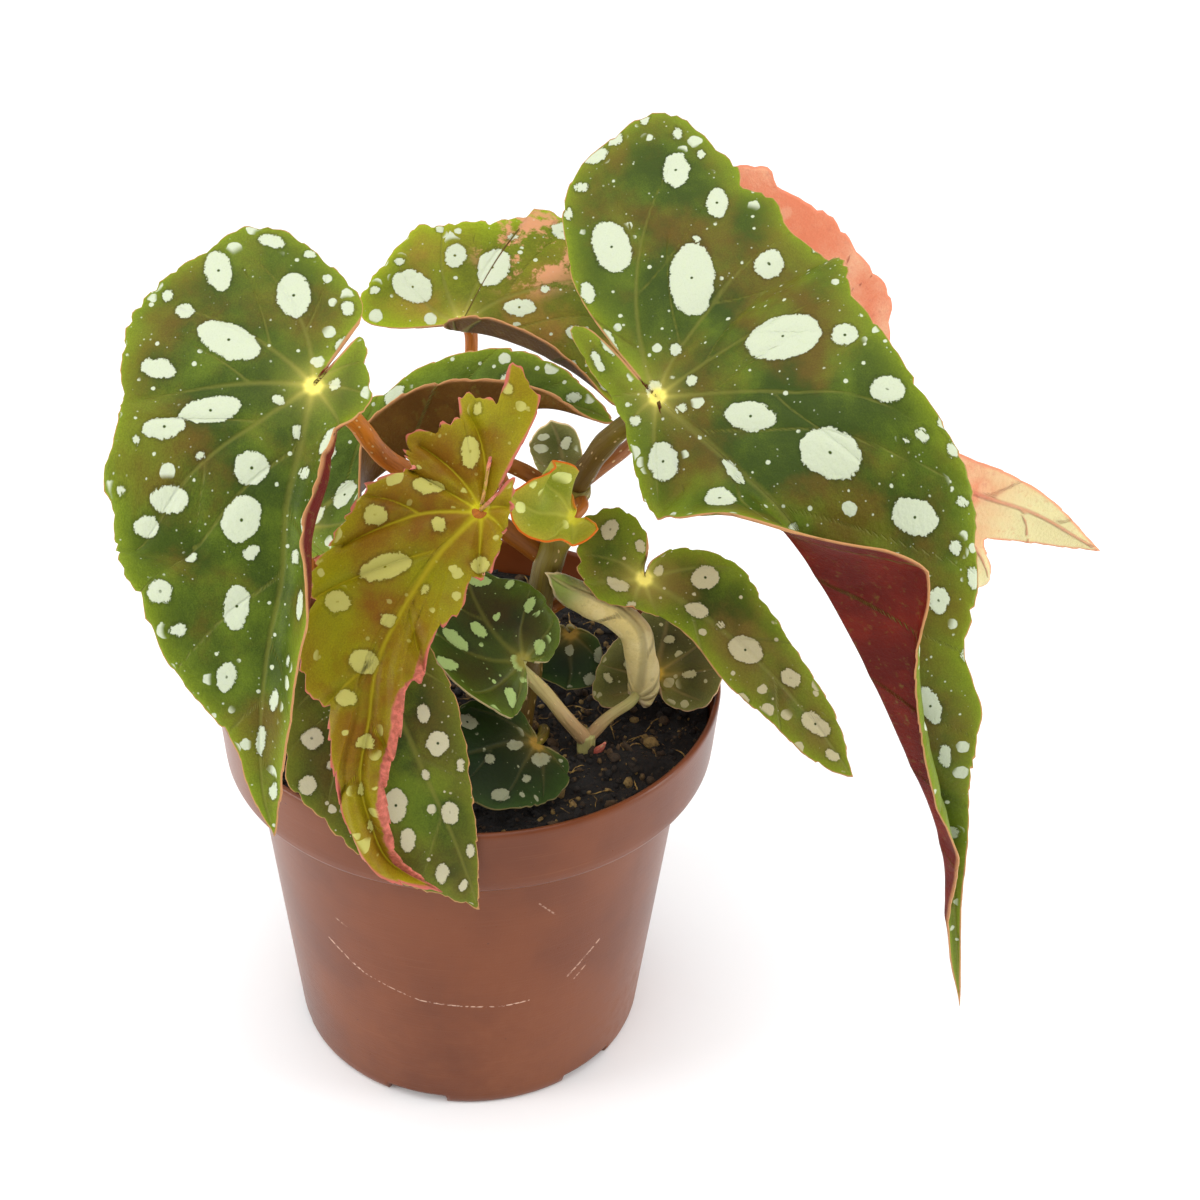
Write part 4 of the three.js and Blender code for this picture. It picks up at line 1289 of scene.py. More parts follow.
LEAVES = (
    Leaf("leaf_right", "leaf_green", Blade(
        spine=((32, -14, 195), (39, -25, 190), (52, -42, 185), (64, -54, 178), (78, -61, 157),
            (91, -64, 132), (104, -62, 102), (110, -58, 73), (116, -53, 41)),
        face=(TOWARDS_VIEWER,) * 5 + ((-0.2, -0.8, 0.5), (-0.3, -0.85, 0.4), (-0.4, -0.85, 0.3),
            (-0.5, -0.8, 0.2)),
        wide=Half(((-6, -0.4), (-18, -1), (-33, 0), (-43, 4), (-51, 8), (-58, 16), (-60, 26),
            (-61, 34), (-59, 40), (-53, 43), (-44, 44), (-37, 45), (-32, 43), (-26, 47), (-18, 45),
            (-11, 47), (4, 49), (14, 44), (25, 42), (39, 38), (54, 36), (64, 32), (73, 27), (79, 22),
            (84, 18), (92, 17), (99, 16), (110, 10), (122, 6), (146, 2), (191, 0)), fold=((100, 0),
            (140, 20)), curl=((0, -15),)),
        narrow=Half(((-6, 0.6), (-22, 2.5), (-26, 6), (-16, 8), (-7, 8), (-2, 9), (2, 11), (9, 15),
            (15, 18), (20, 18.5), (24, 17), (29, 17), (34, 18), (40, 21), (46, 24), (53, 26), (62, 25),
            (70, 20), (80, 16), (95, 13), (110, 11), (130, 8), (155, 4), (191, 0)), fold=((0, -8),
            (20, -8), (26, 20), (34, 60), (42, 90), (50, 120), (58, 140), (110, 140), (170, 130)),
            roll=((55, 0), (64, -70), (76, -120), (110, -120), (130, 0))),
        wide_on_left=True, crease=3.5),
        GREEN, dots=((612, 248, 38, 53, 110), (692, 279, 44, 71, 88), (676, 171, 27, 34, 90),
            (717, 204, 22, 30, 90), (769, 265, 30, 31), (783, 337, 77, 44, 14), (845, 336, 28, 22),
            (887, 389, 35, 27), (751, 417, 53, 29, -8), (830, 453, 66, 50, -25), (914, 517, 49, 36, -20),
            (664, 462, 30, 40, 100), (733, 472, 32, 11, -50), (720, 500, 31, 18), (596, 157, 25, 14, 20),
            (615, 140, 18, 13, 30), (588, 294, 14, 22, 110), (582, 189, 16, 9), (609, 343, 12, 28, 112),
            (922, 435, 14, 14), (945, 422, 14, 18, 90), (953, 450, 13, 17, 90), (962, 501, 13, 13),
            (938, 600, 22, 26, 90), (973, 577, 12, 23, 90), (955, 547, 12, 16, 90),
            (930, 705, 20, 40, 112), (945, 755, 13, 24, 100), (645, 120, 9, 12), (678, 135, 9, 12),
            (697, 240, 7, 7), (676, 350, 11, 11), (701, 155, 8, 8), (570, 215, 8, 12),
            (598, 362, 8, 24, 115), (905, 440, 8, 8), (817, 252, 9, 9), (965, 655, 10, 14, 90)),
            detail=(420, 64), seed=3),
    Leaf("leaf_left", "leaf_green", Blade(
        spine=((-28, -42, 211), (-30, -50, 206), (-32, -58, 199), (-35, -66, 188), (-36, -72, 176),
            (-39, -77, 163), (-41, -81, 147), (-41, -84, 134), (-39, -86, 123)),
        face=((-0.1, -0.85, 0.5),),
        wide=Half(((-5, -1.7), (-12, -4), (-18, -5.8), (-23, -3), (-28, 4), (-33, 13), (-33, 21),
            (-29, 26), (-24, 30), (-20, 34), (-10, 39), (-2, 39), (8, 37), (19, 36), (24, 37), (29, 34),
            (44, 32), (50, 26), (61, 18), (67, 11), (74, 5), (82, 3), (94, 0)), curl=((0, -12),)),
        narrow=Half(((-4, 1.9), (-8, 3.8), (-13, 7), (-5, 10), (0, 12), (6, 11), (9, 9.5),
            (20, 16), (40, 15), (55, 12), (75, 8), (94, 0)), fold=((0, 5), (8, 10), (14, 50), (30, 65),
            (60, 58)), roll=((4, 0), (9, 90), (25, 90), (45, 0))),
        wide_on_left=False, roll_span=6),
        GREEN, dots=((219, 272, 27, 40, 100), (294, 296, 35, 44, 90), (229, 341, 66, 34, -22),
            (272, 242, 27, 11, -15), (159, 370, 35, 20, -8), (165, 427, 44, 22, 10),
            (211, 411, 62, 26, 10), (252, 468, 34, 34), (242, 520, 37, 50, 70), (170, 500, 38, 30),
            (147, 527, 24, 22), (237, 606, 26, 47, 82), (161, 591, 26, 24), (227, 676, 20, 29, 75),
            (186, 312, 18, 14), (168, 297, 10, 10), (310, 255, 12, 8), (348, 310, 14, 14),
            (200, 455, 10, 8), (137, 440, 8, 8), (122, 490, 9, 12, 90), (178, 630, 18, 12),
            (252, 552, 18, 12, 45), (335, 385, 10, 16, 60), (276, 700, 9, 22, 85), (262, 740, 10, 28, 85),
            (275, 790, 8, 18, 85), (342, 345, 9, 16, 45)), detail=(340, 50), seed=5),
    Leaf("leaf_back", "leaf_green", Blade(
        spine=((-10, 52, 168), (-2, 50, 168), (8, 44, 169), (21, 34, 168), (30, 24, 166), (35, 18, 163)),
        face=((-0.05, -0.75, 0.66),),
        wide=Half(((-4, -0.8), (-16, -3), (-24, -2), (-26, 4), (-21, 14), (-15, 23), (-9, 24),
            (-2, 26), (3, 27), (8, 30), (10, 32), (28, 28), (38, 18), (45, 8), (49, 0))),
        narrow=Half(((-3, 1.5), (-4, 4), (0, 7), (10, 9), (25, 8), (40, 4), (49, 0)),
            fold=((0, 110),)),
        wide_on_left=True, crease=3),
        YELLOWED, dots=((413, 287, 42, 30, -25), (455, 256, 22, 24, 90), (493, 268, 32, 40, 60),
            (520, 308, 32, 17), (440, 230, 9, 7), (400, 262, 10, 7), (375, 290, 9, 8), (545, 290, 8, 8),
            (512, 238, 10, 6)), seed=7),
    Leaf("leaf_arched", "leaf_green", Blade(
        spine=((-42, 8, 132), (-39, 10, 136), (-28, 14, 144), (-16, 18, 151), (-5, 20, 157), (7, 18, 163),
            (18, 14, 167), (27, 8, 168), (33, 4, 167)),
        face=((-0.3, -0.5, 0.8),),
        wide=Half(((-3, 1), (-6, 6), (-3, 14), (8, 20), (18, 21), (32, 15), (41, 16), (58, 14),
            (72, 7), (86, 0)), fold=((0, 10), (40, 20))),
        narrow=Half(((-3, 1), (-6, 4), (-3, 10), (8, 14), (20, 17), (40, 18), (60, 12), (78, 5),
            (86, 0)), fold=((0, 0), (12, 30), (25, 110), (50, 120))),
        wide_on_left=True),
        ARCHED, dots=((395, 395, 14, 26, 50), (345, 495, 18, 32, 60), (318, 515, 12, 20, 60),
            (330, 455, 10, 18, 60)), seed=9),
    Leaf("leaf_young", "leaf_young", Blade(
        spine=((7, -30, 175), (2, -36, 169), (-6, -42, 163), (-13, -49, 155), (-19, -56, 145),
            (-21, -62, 134), (-23, -66, 122), (-21, -68, 111), (-17, -69, 101), (-6, -69, 93)),
        face=(TOWARDS_VIEWER,),
        wide=Half(((-7, -1.1), (-27, 1), (-31, 10), (-26, 9), (-22, 10), (-22, 14), (-19, 16),
            (-15, 14), (-10, 18), (-8, 21), (-5, 21), (5, 18), (10, 20), (12, 22), (15, 20), (18, 21),
            (23, 20), (29, 21), (33, 18), (39, 17), (45, 15), (51, 9), (58, 7), (65, 5), (72, 5), (80, 4),
            (88, 3), (100, 0))),
        narrow=Half(((-5, 1.2), (-10, 2.6), (-5, 5), (1, 8), (5, 10), (10, 11), (14, 9), (21, 11),
            (26, 9), (32, 9), (40, 10), (45, 7), (55, 7), (70, 5), (84, 3), (100, 0))),
        wide_on_left=False, ruffle=1, ruffles=11),
        YOUNG, wild=8, dots=((470, 452, 18, 34, 85), (430, 485, 34, 18), (375, 515, 24, 20),
            (385, 567, 54, 24, 18), (338, 602, 26, 20), (388, 620, 16, 14), (365, 662, 28, 26),
            (347, 698, 20, 15), (480, 565, 18, 18), (438, 525, 14, 16), (365, 742, 20, 15),
            (508, 390, 9, 12), (478, 410, 8, 12), (425, 590, 9, 9)), detail=(480, 48), seed=11,
            pucker=1.5, teeth=1.5),
    Leaf("leaf_front_right", "leaf_green", Blade(
        spine=((36, -2, 136), (40, -6, 132), (53, -12, 126), (67, -18, 116), (80, -24, 103),
            (89, -30, 92)),
        face=((0.1, -0.7, 0.7),),
        wide=Half(((-5, -4), (-9, -7), (-16, -6), (-19, -2), (-20, 3), (-17, 7), (-10, 12),
            (-3, 12), (0, 9), (4, 7), (10, 6), (18, 6.5), (28, 9), (37, 9), (44, 8), (55, 7), (63, 4),
            (68, 0))),
        narrow=Half(((-1, 2), (-2, 5), (0, 9), (5, 12), (10, 14), (16, 15), (25, 12), (35, 9),
            (45, 7), (55, 5), (68, 0))),
        wide_on_left=False),
        BRONZED, dots=((705, 578, 28, 24), (697, 610, 26, 14, -15), (745, 650, 36, 26, -25),
            (790, 678, 22, 16, -30), (815, 724, 34, 18, -35), (618, 585, 26, 12, -20),
            (610, 530, 16, 22, 60), (742, 700, 13, 12), (640, 548, 9, 12), (832, 755, 15, 10, -30),
            (720, 625, 9, 8), (632, 605, 10, 7)), seed=13),
    Leaf("leaf_front_low", "leaf_green", Blade(
        spine=((-26, -36, 144), (-21, -42, 138), (-15, -50, 126), (-9, -57, 114), (-3, -63, 101),
            (2, -66, 85)),
        face=((-0.1, -0.75, 0.6),),
        wide=Half(((-4, 2), (-12, 8), (-10, 14), (2, 21), (14, 26), (20, 28), (28, 25), (36, 22),
            (49, 16), (57, 7), (63, 0))),
        narrow=Half(((-4, 1.8), (-12, 6), (-4, 11), (5, 12), (15, 13), (26, 11), (36, 8), (49, 4),
            (63, 0))),
        wide_on_left=False),
        SHADED, dots=((312, 738, 24, 20), (423, 713, 13, 18, 90), (438, 743, 22, 24, 90),
            (308, 785, 18, 18), (396, 805, 23, 34, 90), (408, 840, 15, 24, 90), (450, 812, 17, 24, 90),
            (442, 872, 13, 20, 80), (470, 850, 9, 14, 90), (330, 765, 9, 9), (460, 765, 9, 14, 90),
            (425, 775, 8, 10), (463, 885, 8, 12, 80)), seed=15),
    Leaf("leaf_back_right", "leaf_pink", Blade(
        spine=((70, 42, 160), (80, 40, 153), (96, 42, 142), (113, 46, 130), (131, 50, 120),
            (148, 55, 111), (169, 62, 95)),
        face=((0.3, 0.8, -0.3),),
        wide=Half(((-5, 0.6), (-20, 3), (-36, 19), (-49, 33), (-47, 37), (-42, 40), (-37, 38),
            (-24, 40), (-11, 37), (1, 34), (9, 25), (21, 14), (38, 9), (55, 8), (65, 8), (84, 5),
            (109, 0))),
        narrow=Half(((-4, 1), (-12, 6), (-8, 20), (10, 26), (30, 30), (50, 31), (68, 28), (83, 23),
            (72, 14), (70, 11), (82, 9), (96, 5), (109, 0))),
        wide_on_left=False),
        PINK, seed=17),
    Leaf("leaf_bowl", "leaf_green", Blade(
        spine=((15, -20, 115), (12, -20, 119), (7, -18, 123), (3, -14, 127), (0, -8, 131), (0, -1, 134)),
        face=((0, -0.45, 0.9),),
        wide=Half(((-3, 2), (-6, 6), (-5, 13), (3, 18), (14, 17), (23, 12), (27, 5), (29, 0)),
            curl=((0, 50),)),
        narrow=Half(((-3, 1.8), (-6, 5), (-4, 11), (5, 15), (15, 14), (23, 9), (27, 4), (29, 0)),
            curl=((0, 55),), roll=((-4, 0), (4, -120), (20, -120))),
        wide_on_left=True, roll_span=4),
        BOWL_SHADE, dots=((455, 640, 34, 12, -40), (445, 665, 24, 10, -20), (478, 630, 20, 10, -45)),
            detail=(200, 34), seed=19),
    Leaf("leaf_rolled", "leaf_pale", Blade(
        spine=((36, -11, 97), (39, -12, 103), (40, -13, 113), (39, -12, 121), (34, -10, 126),
            (28, -8, 128), (22, -7, 130.5), (17, -6.5, 134)),
        face=((0.3, 0.8, -0.6), (0.3, 0.8, -0.6), (-0.1, 0.8, -0.6), (-0.3, 0.8, -0.6), (-0.3, 0.7, -0.7),
            (-0.3, 0.7, -0.7), (-0.2, 0.7, -0.7), (-0.2, 0.7, -0.7)),
        wide=Half(((-1, 1.5), (-2, 4), (5, 8), (18, 9), (32, 8), (42, 4), (48, 0)),
            curl=((0, 150),)),
        narrow=Half(((-1, 1.5), (-2, 4), (5, 8), (18, 9), (32, 8), (42, 4), (48, 0)),
            curl=((0, 150),)),
        wide_on_left=True, curl_power=1),
        PALE, detail=(200, 28), seed=21),
    Leaf("leaf_under", "leaf_olive", Blade(
        spine=((42, -11, 100), (44, -5, 104), (46, 3, 106.5), (48, 11, 109.5), (50, 18, 112.5)),
        face=((-0.12, -0.33, 0.93),),
        wide=Half(((-3, 1.5), (-7, 4), (-8, 10), (-4, 15), (5, 16), (14, 13), (21, 6), (25, 0))),
        narrow=Half(((-3, 1.2), (-7, 3), (-11, 9), (-8, 14), (2, 14), (12, 10), (20, 5), (25, 0))),
        wide_on_left=False),
        OLIVE, dots=((670, 640, 12, 8), (690, 675, 14, 9), (640, 700, 12, 9)), detail=(200, 28), seed=23),
    Leaf("leaf_shade", "leaf_deep", Blade(
        spine=((24, 6, 112), (24, 5, 109), (24, 3, 104), (24, 0, 100), (23, -3, 97.5)),
        face=((0, -0.6, 0.8),),
        wide=Half(((-1, 1), (-2, 3), (2, 8), (9, 10), (14, 8), (16, 0))),
        narrow=Half(((-1, 1), (-1, 3), (2, 7), (8, 8), (13, 6), (16, 0))),
        wide_on_left=False),
        DEEP_SHADE, dots=((600, 655, 12, 16, 90), (590, 680, 14, 12), (570, 650, 9, 12)), detail=(160, 24),
            seed=25),
    Leaf("leaf_soil", "leaf_deep", Blade(
        spine=((18, -27, 101), (15, -29, 102), (8, -33, 105), (1, -37, 106), (-6, -40, 106),
            (-11, -42, 105)),
        face=((0, -0.42, 0.91),),
        wide=Half(((-2, 0.8), (-6, 6), (-3, 11), (1, 15), (9, 17), (17, 16), (21, 13), (25, 8),
            (28, 4), (30, 0))),
        narrow=Half(((-1, 1.2), (-1, 4), (1, 9), (6, 12), (12, 13), (18, 11), (25, 6), (30, 0))),
        wide_on_left=True),
        DEEP_SHADE, dots=((500, 795, 20, 12), (540, 760, 18, 14), (515, 745, 16, 10), (490, 760, 10, 10),
            (525, 780, 8, 8)), detail=(200, 30), seed=27),
    Leaf("leaf_crown", "leaf_young", Blade(
        spine=((25, -12, 154), (23, -13, 153), (19, -15, 155), (14, -17, 157), (8, -18, 162)),
        face=((-0.15, -0.7, 0.7),),
        wide=Half(((-2, 1.5), (-3, 5), (1, 8), (8, 8), (14, 5), (18, 0)), curl=((0, 70),)),
        narrow=Half(((-2, 1.5), (-3, 6), (1, 11), (8, 13), (14, 8), (18, 0)), curl=((0, 70),)),
        wide_on_left=True),
        LIME, detail=(160, 24), seed=29, pucker=0.6, wild=0),
    Leaf("stipule", "leaf_pale", Blade(
        spine=((22, 7, 146), (22, 7, 150), (21, 7, 156), (20, 6, 162), (18, 4, 168)),
        face=((-0.2, -0.8, 0.5),),
        wide=Half(((0, 1.5), (2, 5), (7, 7), (13, 7), (18, 4), (20, 0))),
        narrow=Half(((0, 1.5), (4, 4.5), (9, 5), (16, 4), (20, 0))),
        wide_on_left=True),
        PALE, detail=(140, 22), seed=31),
)


# Stalks


@dataclass(frozen=True)
class StalkSkin:
    """The finish of a stalk.

    Attributes:
        foot: colour at its lower end.
        top: colour at its upper end.
        streak: colour of its fine long streaks.
        pore: colour of its pores.
    """

    foot: Colour
    top: Colour
    streak: Colour
    pore: Colour = Colour(206, 176, 122)

    def material(self, name: str) -> bpy.types.Material:
        """The stalk's material, with streaks along it and pale pores.

        Args:
            name: the material's name.

        Returns:
            The material.
        """
        paint = Paint(name)
        flat = paint.marks("flat")
        along = paint.mark("along")
        tone = paint.mix(self.foot, self.top, (along + (paint.noise(flat, 0.15) - 0.5) * 0.4).step(0.1, 0.95))
        fibre = paint.noise(paint.scaled(flat, (0.12, 1.6, 1)), 1.0, 4.0, 0.6)
        tone = paint.mix(tone, self.streak, fibre.step(0.45, 0.75) * 0.6)
        distance, chance = paint.cells(paint.scaled(flat, (0.5, 1.2, 1)), 0.8)
        pore = (0.28 - distance).step(-0.05, 0.1) * chance.step(0.55, 0.6)
        tone = paint.mix(tone, self.pore, pore * 0.7)
        return paint.finish(
            Base_Color=tone,
            Roughness=fibre * 0.25 + 0.3,
            Normal=paint.bump(fibre * 0.5 + pore * 0.3, 0.4),
            Specular_IOR_Level=0.25,
            Subsurface_Weight=0.12,
            Subsurface_Radius=(1.5, 0.9, 0.4),
            Subsurface_Scale=0.002,
        )


ORANGE = StalkSkin(Colour(128, 74, 18), Colour(180, 104, 24), Colour(96, 54, 14))
BROWN = StalkSkin(Colour(88, 66, 20), Colour(112, 100, 26), Colour(74, 52, 14))
BEIGE = StalkSkin(Colour(170, 138, 96), Colour(170, 164, 100), Colour(120, 104, 60))
BUD = StalkSkin(Colour(150, 62, 48), Colour(206, 124, 104), Colour(120, 46, 34))


@dataclass(frozen=True)
class Stalk:
    """A round tapering stalk along a spline.

    Attributes:
        path: its points, lowest first.
        start: radius at the first point.
        end: radius at the last.
        skin: its finish.
        leaf: node name of the leaf that it carries, if any.
        approach: how far below the leaf it turns square to it.
        joints: shares of its length where it is thickened.
    """

    path: Table
    start: float
    end: float
    skin: StalkSkin
    leaf: str = ""
    approach: float = 6.0
    joints: Sequence[float] = ()

    def points(self, blades: dict[str, Blade]) -> Array:
        """The stalk's spline points.

        Args:
            blades: every leaf's blade, by node name.

        Returns:
            Rows of places, the last at its leaf's underside.
        """
        path = [tuple(p) for p in self.path]
        if self.leaf:
            place, _, face, _ = blades[self.leaf].frame(np.zeros(1))
            path += [tuple(place[0] - face[0] * d) for d in (self.approach, STALK_REACH)]
        return np.array(path)

    def tube(self, blades: dict[str, Blade], seed: int) -> tuple[Array, list[Array], dict[str, Array]]:
        """The closed tube, with sides carried along the stalk without twist.

        Args:
            blades: every leaf's blade, by node name.
            seed: start of its random swellings.

        Returns:
            Vertices, faces and marks.
        """
        sides = 20
        line = catmull_rom(self.points(blades), 12)
        length = np.linalg.norm(np.diff(line, axis=0), axis=1).sum()
        line = even(line, max(24, int(length / 1.1)))
        share = np.linspace(0, 1, len(line))
        along = unit(np.gradient(line, axis=0))
        side = np.zeros_like(line)
        side[0] = unit(np.cross(along[0], (0.3, 1.0, 0.1)))
        for k in range(1, len(line)):
            side[k] = unit(side[k - 1] - along[k] * (side[k - 1] @ along[k]))
        up = np.cross(along, side)
        turn = np.arange(sides) * 2 * math.pi / sides
        radius = self.start + (self.end - self.start) * share
        radius = radius * (1 + 0.04 * ripples(share[:, None] * length, 11, seed))
        for joint in self.joints:
            radius = radius * (1 + 0.16 * np.exp(-(((share - joint) * length) / 1.6) ** 2))
        oval = 1 + 0.03 * np.cos(2 * turn + seed)
        ring = (side[:, None] * np.cos(turn)[:, None] + up[:, None] * np.sin(turn)[:, None])
        verts = line[:, None] + ring * (radius[:, None] * oval)[..., None]
        flat = np.stack(np.broadcast_arrays((share * length)[:, None], radius[:, None] * turn,
                                            np.float64(seed)), -1)
        count = len(line) * sides
        verts = np.vstack([verts.reshape(-1, 3), line[:1], line[-1:]])
        flat = np.vstack([flat.reshape(-1, 3), flat[:1, 0], flat[-1:, 0]])
        first = np.arange(sides)
        caps = np.vstack([
            np.stack([np.full(sides, count), (first + 1) % sides, first], 1),
            np.stack([np.full(sides, count + 1), count - sides + first,
                      count - sides + (first + 1) % sides], 1),
        ])
        marks = {"flat": flat, "along": np.r_[np.repeat(share, sides), 0, 1]}
        return verts, [grid_faces(len(line), sides, wrap=True), caps], marks


@dataclass(frozen=True)
class Shoot:
    """Stalks that grow as one from the soil.

    Attributes:
        node: the CAD node that it stands for.
        stalks: its stalks.
        seed: start of its random swellings.
    """

    node: str
    stalks: Sequence[Stalk]
    seed: int = 1

    def build(self, blades: dict[str, Blade]) -> bpy.types.Object:
        """Makes the shoot's mesh and materials, and stands it in for its CAD node.

        Args:
            blades: every leaf's blade, by node name.

        Returns:
            The finished piece.
        """
        verts, quads, caps, kinds = [], [], [], []
        marks: dict[str, list] = {"flat": [], "along": []}
        skins = list(dict.fromkeys(s.skin for s in self.stalks))
        base = 0
        for k, stalk in enumerate(self.stalks):
            v, (q, c), m = stalk.tube(blades, self.seed + k)
            verts.append(v)
            quads.append(q + base)
            caps.append(c + base)
            base += len(v)
            for name in marks:
                marks[name].append(m[name])
        faces = [*quads, *caps]
        for group in (quads, caps):
            for stalk, part in zip(self.stalks, group):
                kinds.append(np.full(len(part), skins.index(stalk.skin)))
        made = make_mesh(self.node + "_look", np.vstack(verts), faces,
                         {n: np.concatenate(v) for n, v in marks.items()}, np.concatenate(kinds))
        for k, skin in enumerate(skins):
            made.data.materials.append(skin.material(f"{self.node}_skin_{k}"))
        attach(made, "root")
        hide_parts(self.node)
        log.info("%s: %d stalks", self.node, len(self.stalks))
        return made


FOOT = SOIL_LEVEL - 12

SHOOTS = (
    Shoot("shoot_main", (
        Stalk(((11, -15, FOOT), (11, -15, 96), (13, -11, 108), (17, -1, 128), (22, 1, 145),
               (24, -2, 155)), 3.7, 3.3, BROWN, joints=(0.5, 0.78, 0.97)),
        Stalk(((24, -2, 155), (30, -6, 168), (36, -13, 178)), 2.8, 2.2, BROWN, "leaf_right", 7),
        Stalk(((23, 0, 152), (34, 9, 156), (44, 20, 158), (62, 34, 158)), 1.7, 1.4, ORANGE,
              "leaf_back_right"),
        Stalk(((18, 2, 132), (2, 1, 146), (-9, -10, 160), (-18, -21, 173), (-24, -34, 190)), 2.4, 1.8,
              ORANGE, "leaf_left", 7),
        Stalk(((22, 1, 148), (12, 0, 157), (4, -11, 165)), 1.9, 1.6, ORANGE, "leaf_young"),
        Stalk(((14, -6, 118), (19, 1, 119), (27, 1, 124), (35, 3, 126)), 1.7, 1.4, ORANGE,
              "leaf_front_right"),
        Stalk(((18, 3, 134), (8, 24, 139), (1, 44, 152)), 1.9, 1.6, ORANGE, "leaf_back", 7),
        Stalk(((24, -2, 152), (25, -7, 152)), 1.6, 1.2, ORANGE, "leaf_crown", 3),
        Stalk(((20, 1, 140), (22, 6, 144)), 1.4, 1.1, BROWN, "stipule", 2),
    ), seed=2),
    Shoot("shoot_left", (
        Stalk(((-30, 12, FOOT), (-30, 12, 96), (-33, 14, 110), (-37, 14, 122)), 1.9, 1.6, ORANGE,
              "leaf_arched", 8),
    ), seed=12),
    Shoot("shoot_front", (
        Stalk(((-6, -18, FOOT), (-6, -18, 96), (-8, -22, 108), (-14, -32, 124)), 1.9, 1.6, ORANGE,
              "leaf_front_low", 7),
    ), seed=14),
    Shoot("shoot_low", (
        Stalk(((27, -20, FOOT), (27, -20, 96), (27, -20, 98)), 2.3, 2.1, BEIGE),
        Stalk(((27, -20, 96), (22, -22, 104), (17, -20, 110)), 1.8, 1.4, BEIGE, "leaf_bowl", 4),
        Stalk(((27, -20, 96), (32, -18, 101)), 1.5, 1.2, BEIGE, "leaf_rolled", 4),
        Stalk(((29, -22, 93.5), (30.3, -23, 96), (31.2, -23.6, 98)), 1.4, 0.25, BUD),
    ), seed=16),
    Shoot("shoot_right", (
        Stalk(((42, 2, FOOT), (42, 2, 95.5), (43, 0, 98)), 1.4, 1.3, BEIGE, "leaf_under", 3),
    ), seed=20),
    Shoot("shoot_shade", (
        Stalk(((24, 16, FOOT), (24, 16, 95.5), (24, 13, 102)), 1.3, 1.2, BROWN, "leaf_shade", 4),
    ), seed=22),
    Shoot("shoot_soil", (
        Stalk(((17, -16, FOOT), (17, -16, 95.5), (17, -20, 97.5)), 1.3, 1.2, BROWN, "leaf_soil", 3),
    ), seed=24),
)


# Pot


@dataclass(frozen=True)
class Scratch:
    """A pale straight scratch on the pot's outside.

    Attributes:
        start: millimetres round the pot from its front, and up it, at one end.
        end: the same at the other end.
        width: half of its width.
        strength: how far it takes its colour.
    """

    start: tuple[float, float]
    end: tuple[float, float]
    width: float = 0.25
    strength: float = 0.7


@dataclass(frozen=True)
class Plastic:
    """Red-brown moulded plastic with scratches and a paler haze that is stronger towards the bottom.

    Attributes:
        tone: its main colour.
        dark: colour of its darker clouds.
        pale: colour of the paler haze and of the fine lines.
        scratch: colour of the scratches.
        speck: colour of the dirt specks.
        scratches: the scratches.
    """

    tone: Colour = Colour(114, 58, 24)
    dark: Colour = Colour(98, 47, 18)
    pale: Colour = Colour(156, 106, 72)
    scratch: Colour = Colour(214, 176, 152)
    speck: Colour = Colour(60, 34, 24)
    scratches: Sequence[Scratch] = (
        Scratch((-37, 49), (-27, 43), 0.35, 0.8),
        Scratch((-27, 43), (-12, 38.5), 0.25, 0.6),
        Scratch((-12, 38.5), (8, 37), 0.3, 0.7),
        Scratch((8, 37), (14, 37.5), 0.3, 0.8),
        Scratch((24, 42), (33, 50), 0.4, 0.6),
        Scratch((26, 40), (29, 43), 0.3, 0.6),
        Scratch((-34, 58), (-31, 57), 0.35, 0.5),
        Scratch((16, 71), (20, 66), 0.3, 0.4),
    )

    def material(self) -> bpy.types.Material:
        """The pot's material.

        Returns:
            The material.
        """
        paint = Paint("pot_plastic")
        flat = paint.marks("flat")
        place = paint.place()
        around, up, _ = paint.split(flat)
        cloud = paint.noise(place, 0.03, 4.0)
        grain = paint.noise(place, 2.4, 3.0, 0.7)
        tone = paint.mix(self.dark, self.tone, cloud.step(0.3, 0.62))
        # A paler haze in clouds, stronger towards the bottom; it also makes the surface rougher.
        pale_haze = (cloud * 0.5 + paint.noise(place, 0.35, 4.0) * 0.5 - up * 0.003).step(0.36, 0.72)
        tone = paint.mix(tone, self.pale, pale_haze * 0.12)
        lined = paint.noise(paint.scaled(flat, (0.03, 1.5, 1)), 1.0, 2.0)
        tone = paint.mix(tone, self.pale, lined.step(0.62, 0.8) * 0.12)
        breaks = paint.noise(flat, 0.9, 3.0).step(0.42, 0.58)
        lines = [self._line(around, up, scratch) for scratch in self.scratches]
        marks = reduce(Value.most, lines) * breaks
        tone = paint.mix(tone, self.scratch, marks)
        speck_gap, speck_chance = paint.cells(place, 0.22)
        specks = (0.28 - speck_gap).step(0.0, 0.12) * speck_chance.step(0.8, 0.85)
        tone = paint.mix(tone, self.speck, specks * 0.6)
        return paint.finish(
            Base_Color=tone,
            Roughness=pale_haze * 0.12 + grain * 0.1 + lined * 0.06 + 0.22,
            Normal=paint.bump(grain * 0.12 + lined * 0.1 + marks * 0.3, 0.25),
            Specular_IOR_Level=0.28,
        )

    def _line(self, around: Value, up: Value, scratch: Scratch) -> Value:
        """1 on a scratch and 0 off it: distance to a segment against its width.

        Args:
            around: millimetres round the pot.
            up: millimetres up it.
            scratch: the scratch.

        Returns:
            Its mask.
        """
        (x0, z0), (x1, z1) = scratch.start, scratch.end
        dx, dz = x1 - x0, z1 - z0
        size = dx * dx + dz * dz
        px, pz = around - x0, up - z0
        t = (px * (dx / size) + pz * (dz / size)).least(1.0).most(0.0)
        gx, gz = px - t * dx, pz - t * dz
        gap = (gx * gx + gz * gz).root()
        return gap.step(scratch.width, scratch.width * 0.3) * scratch.strength


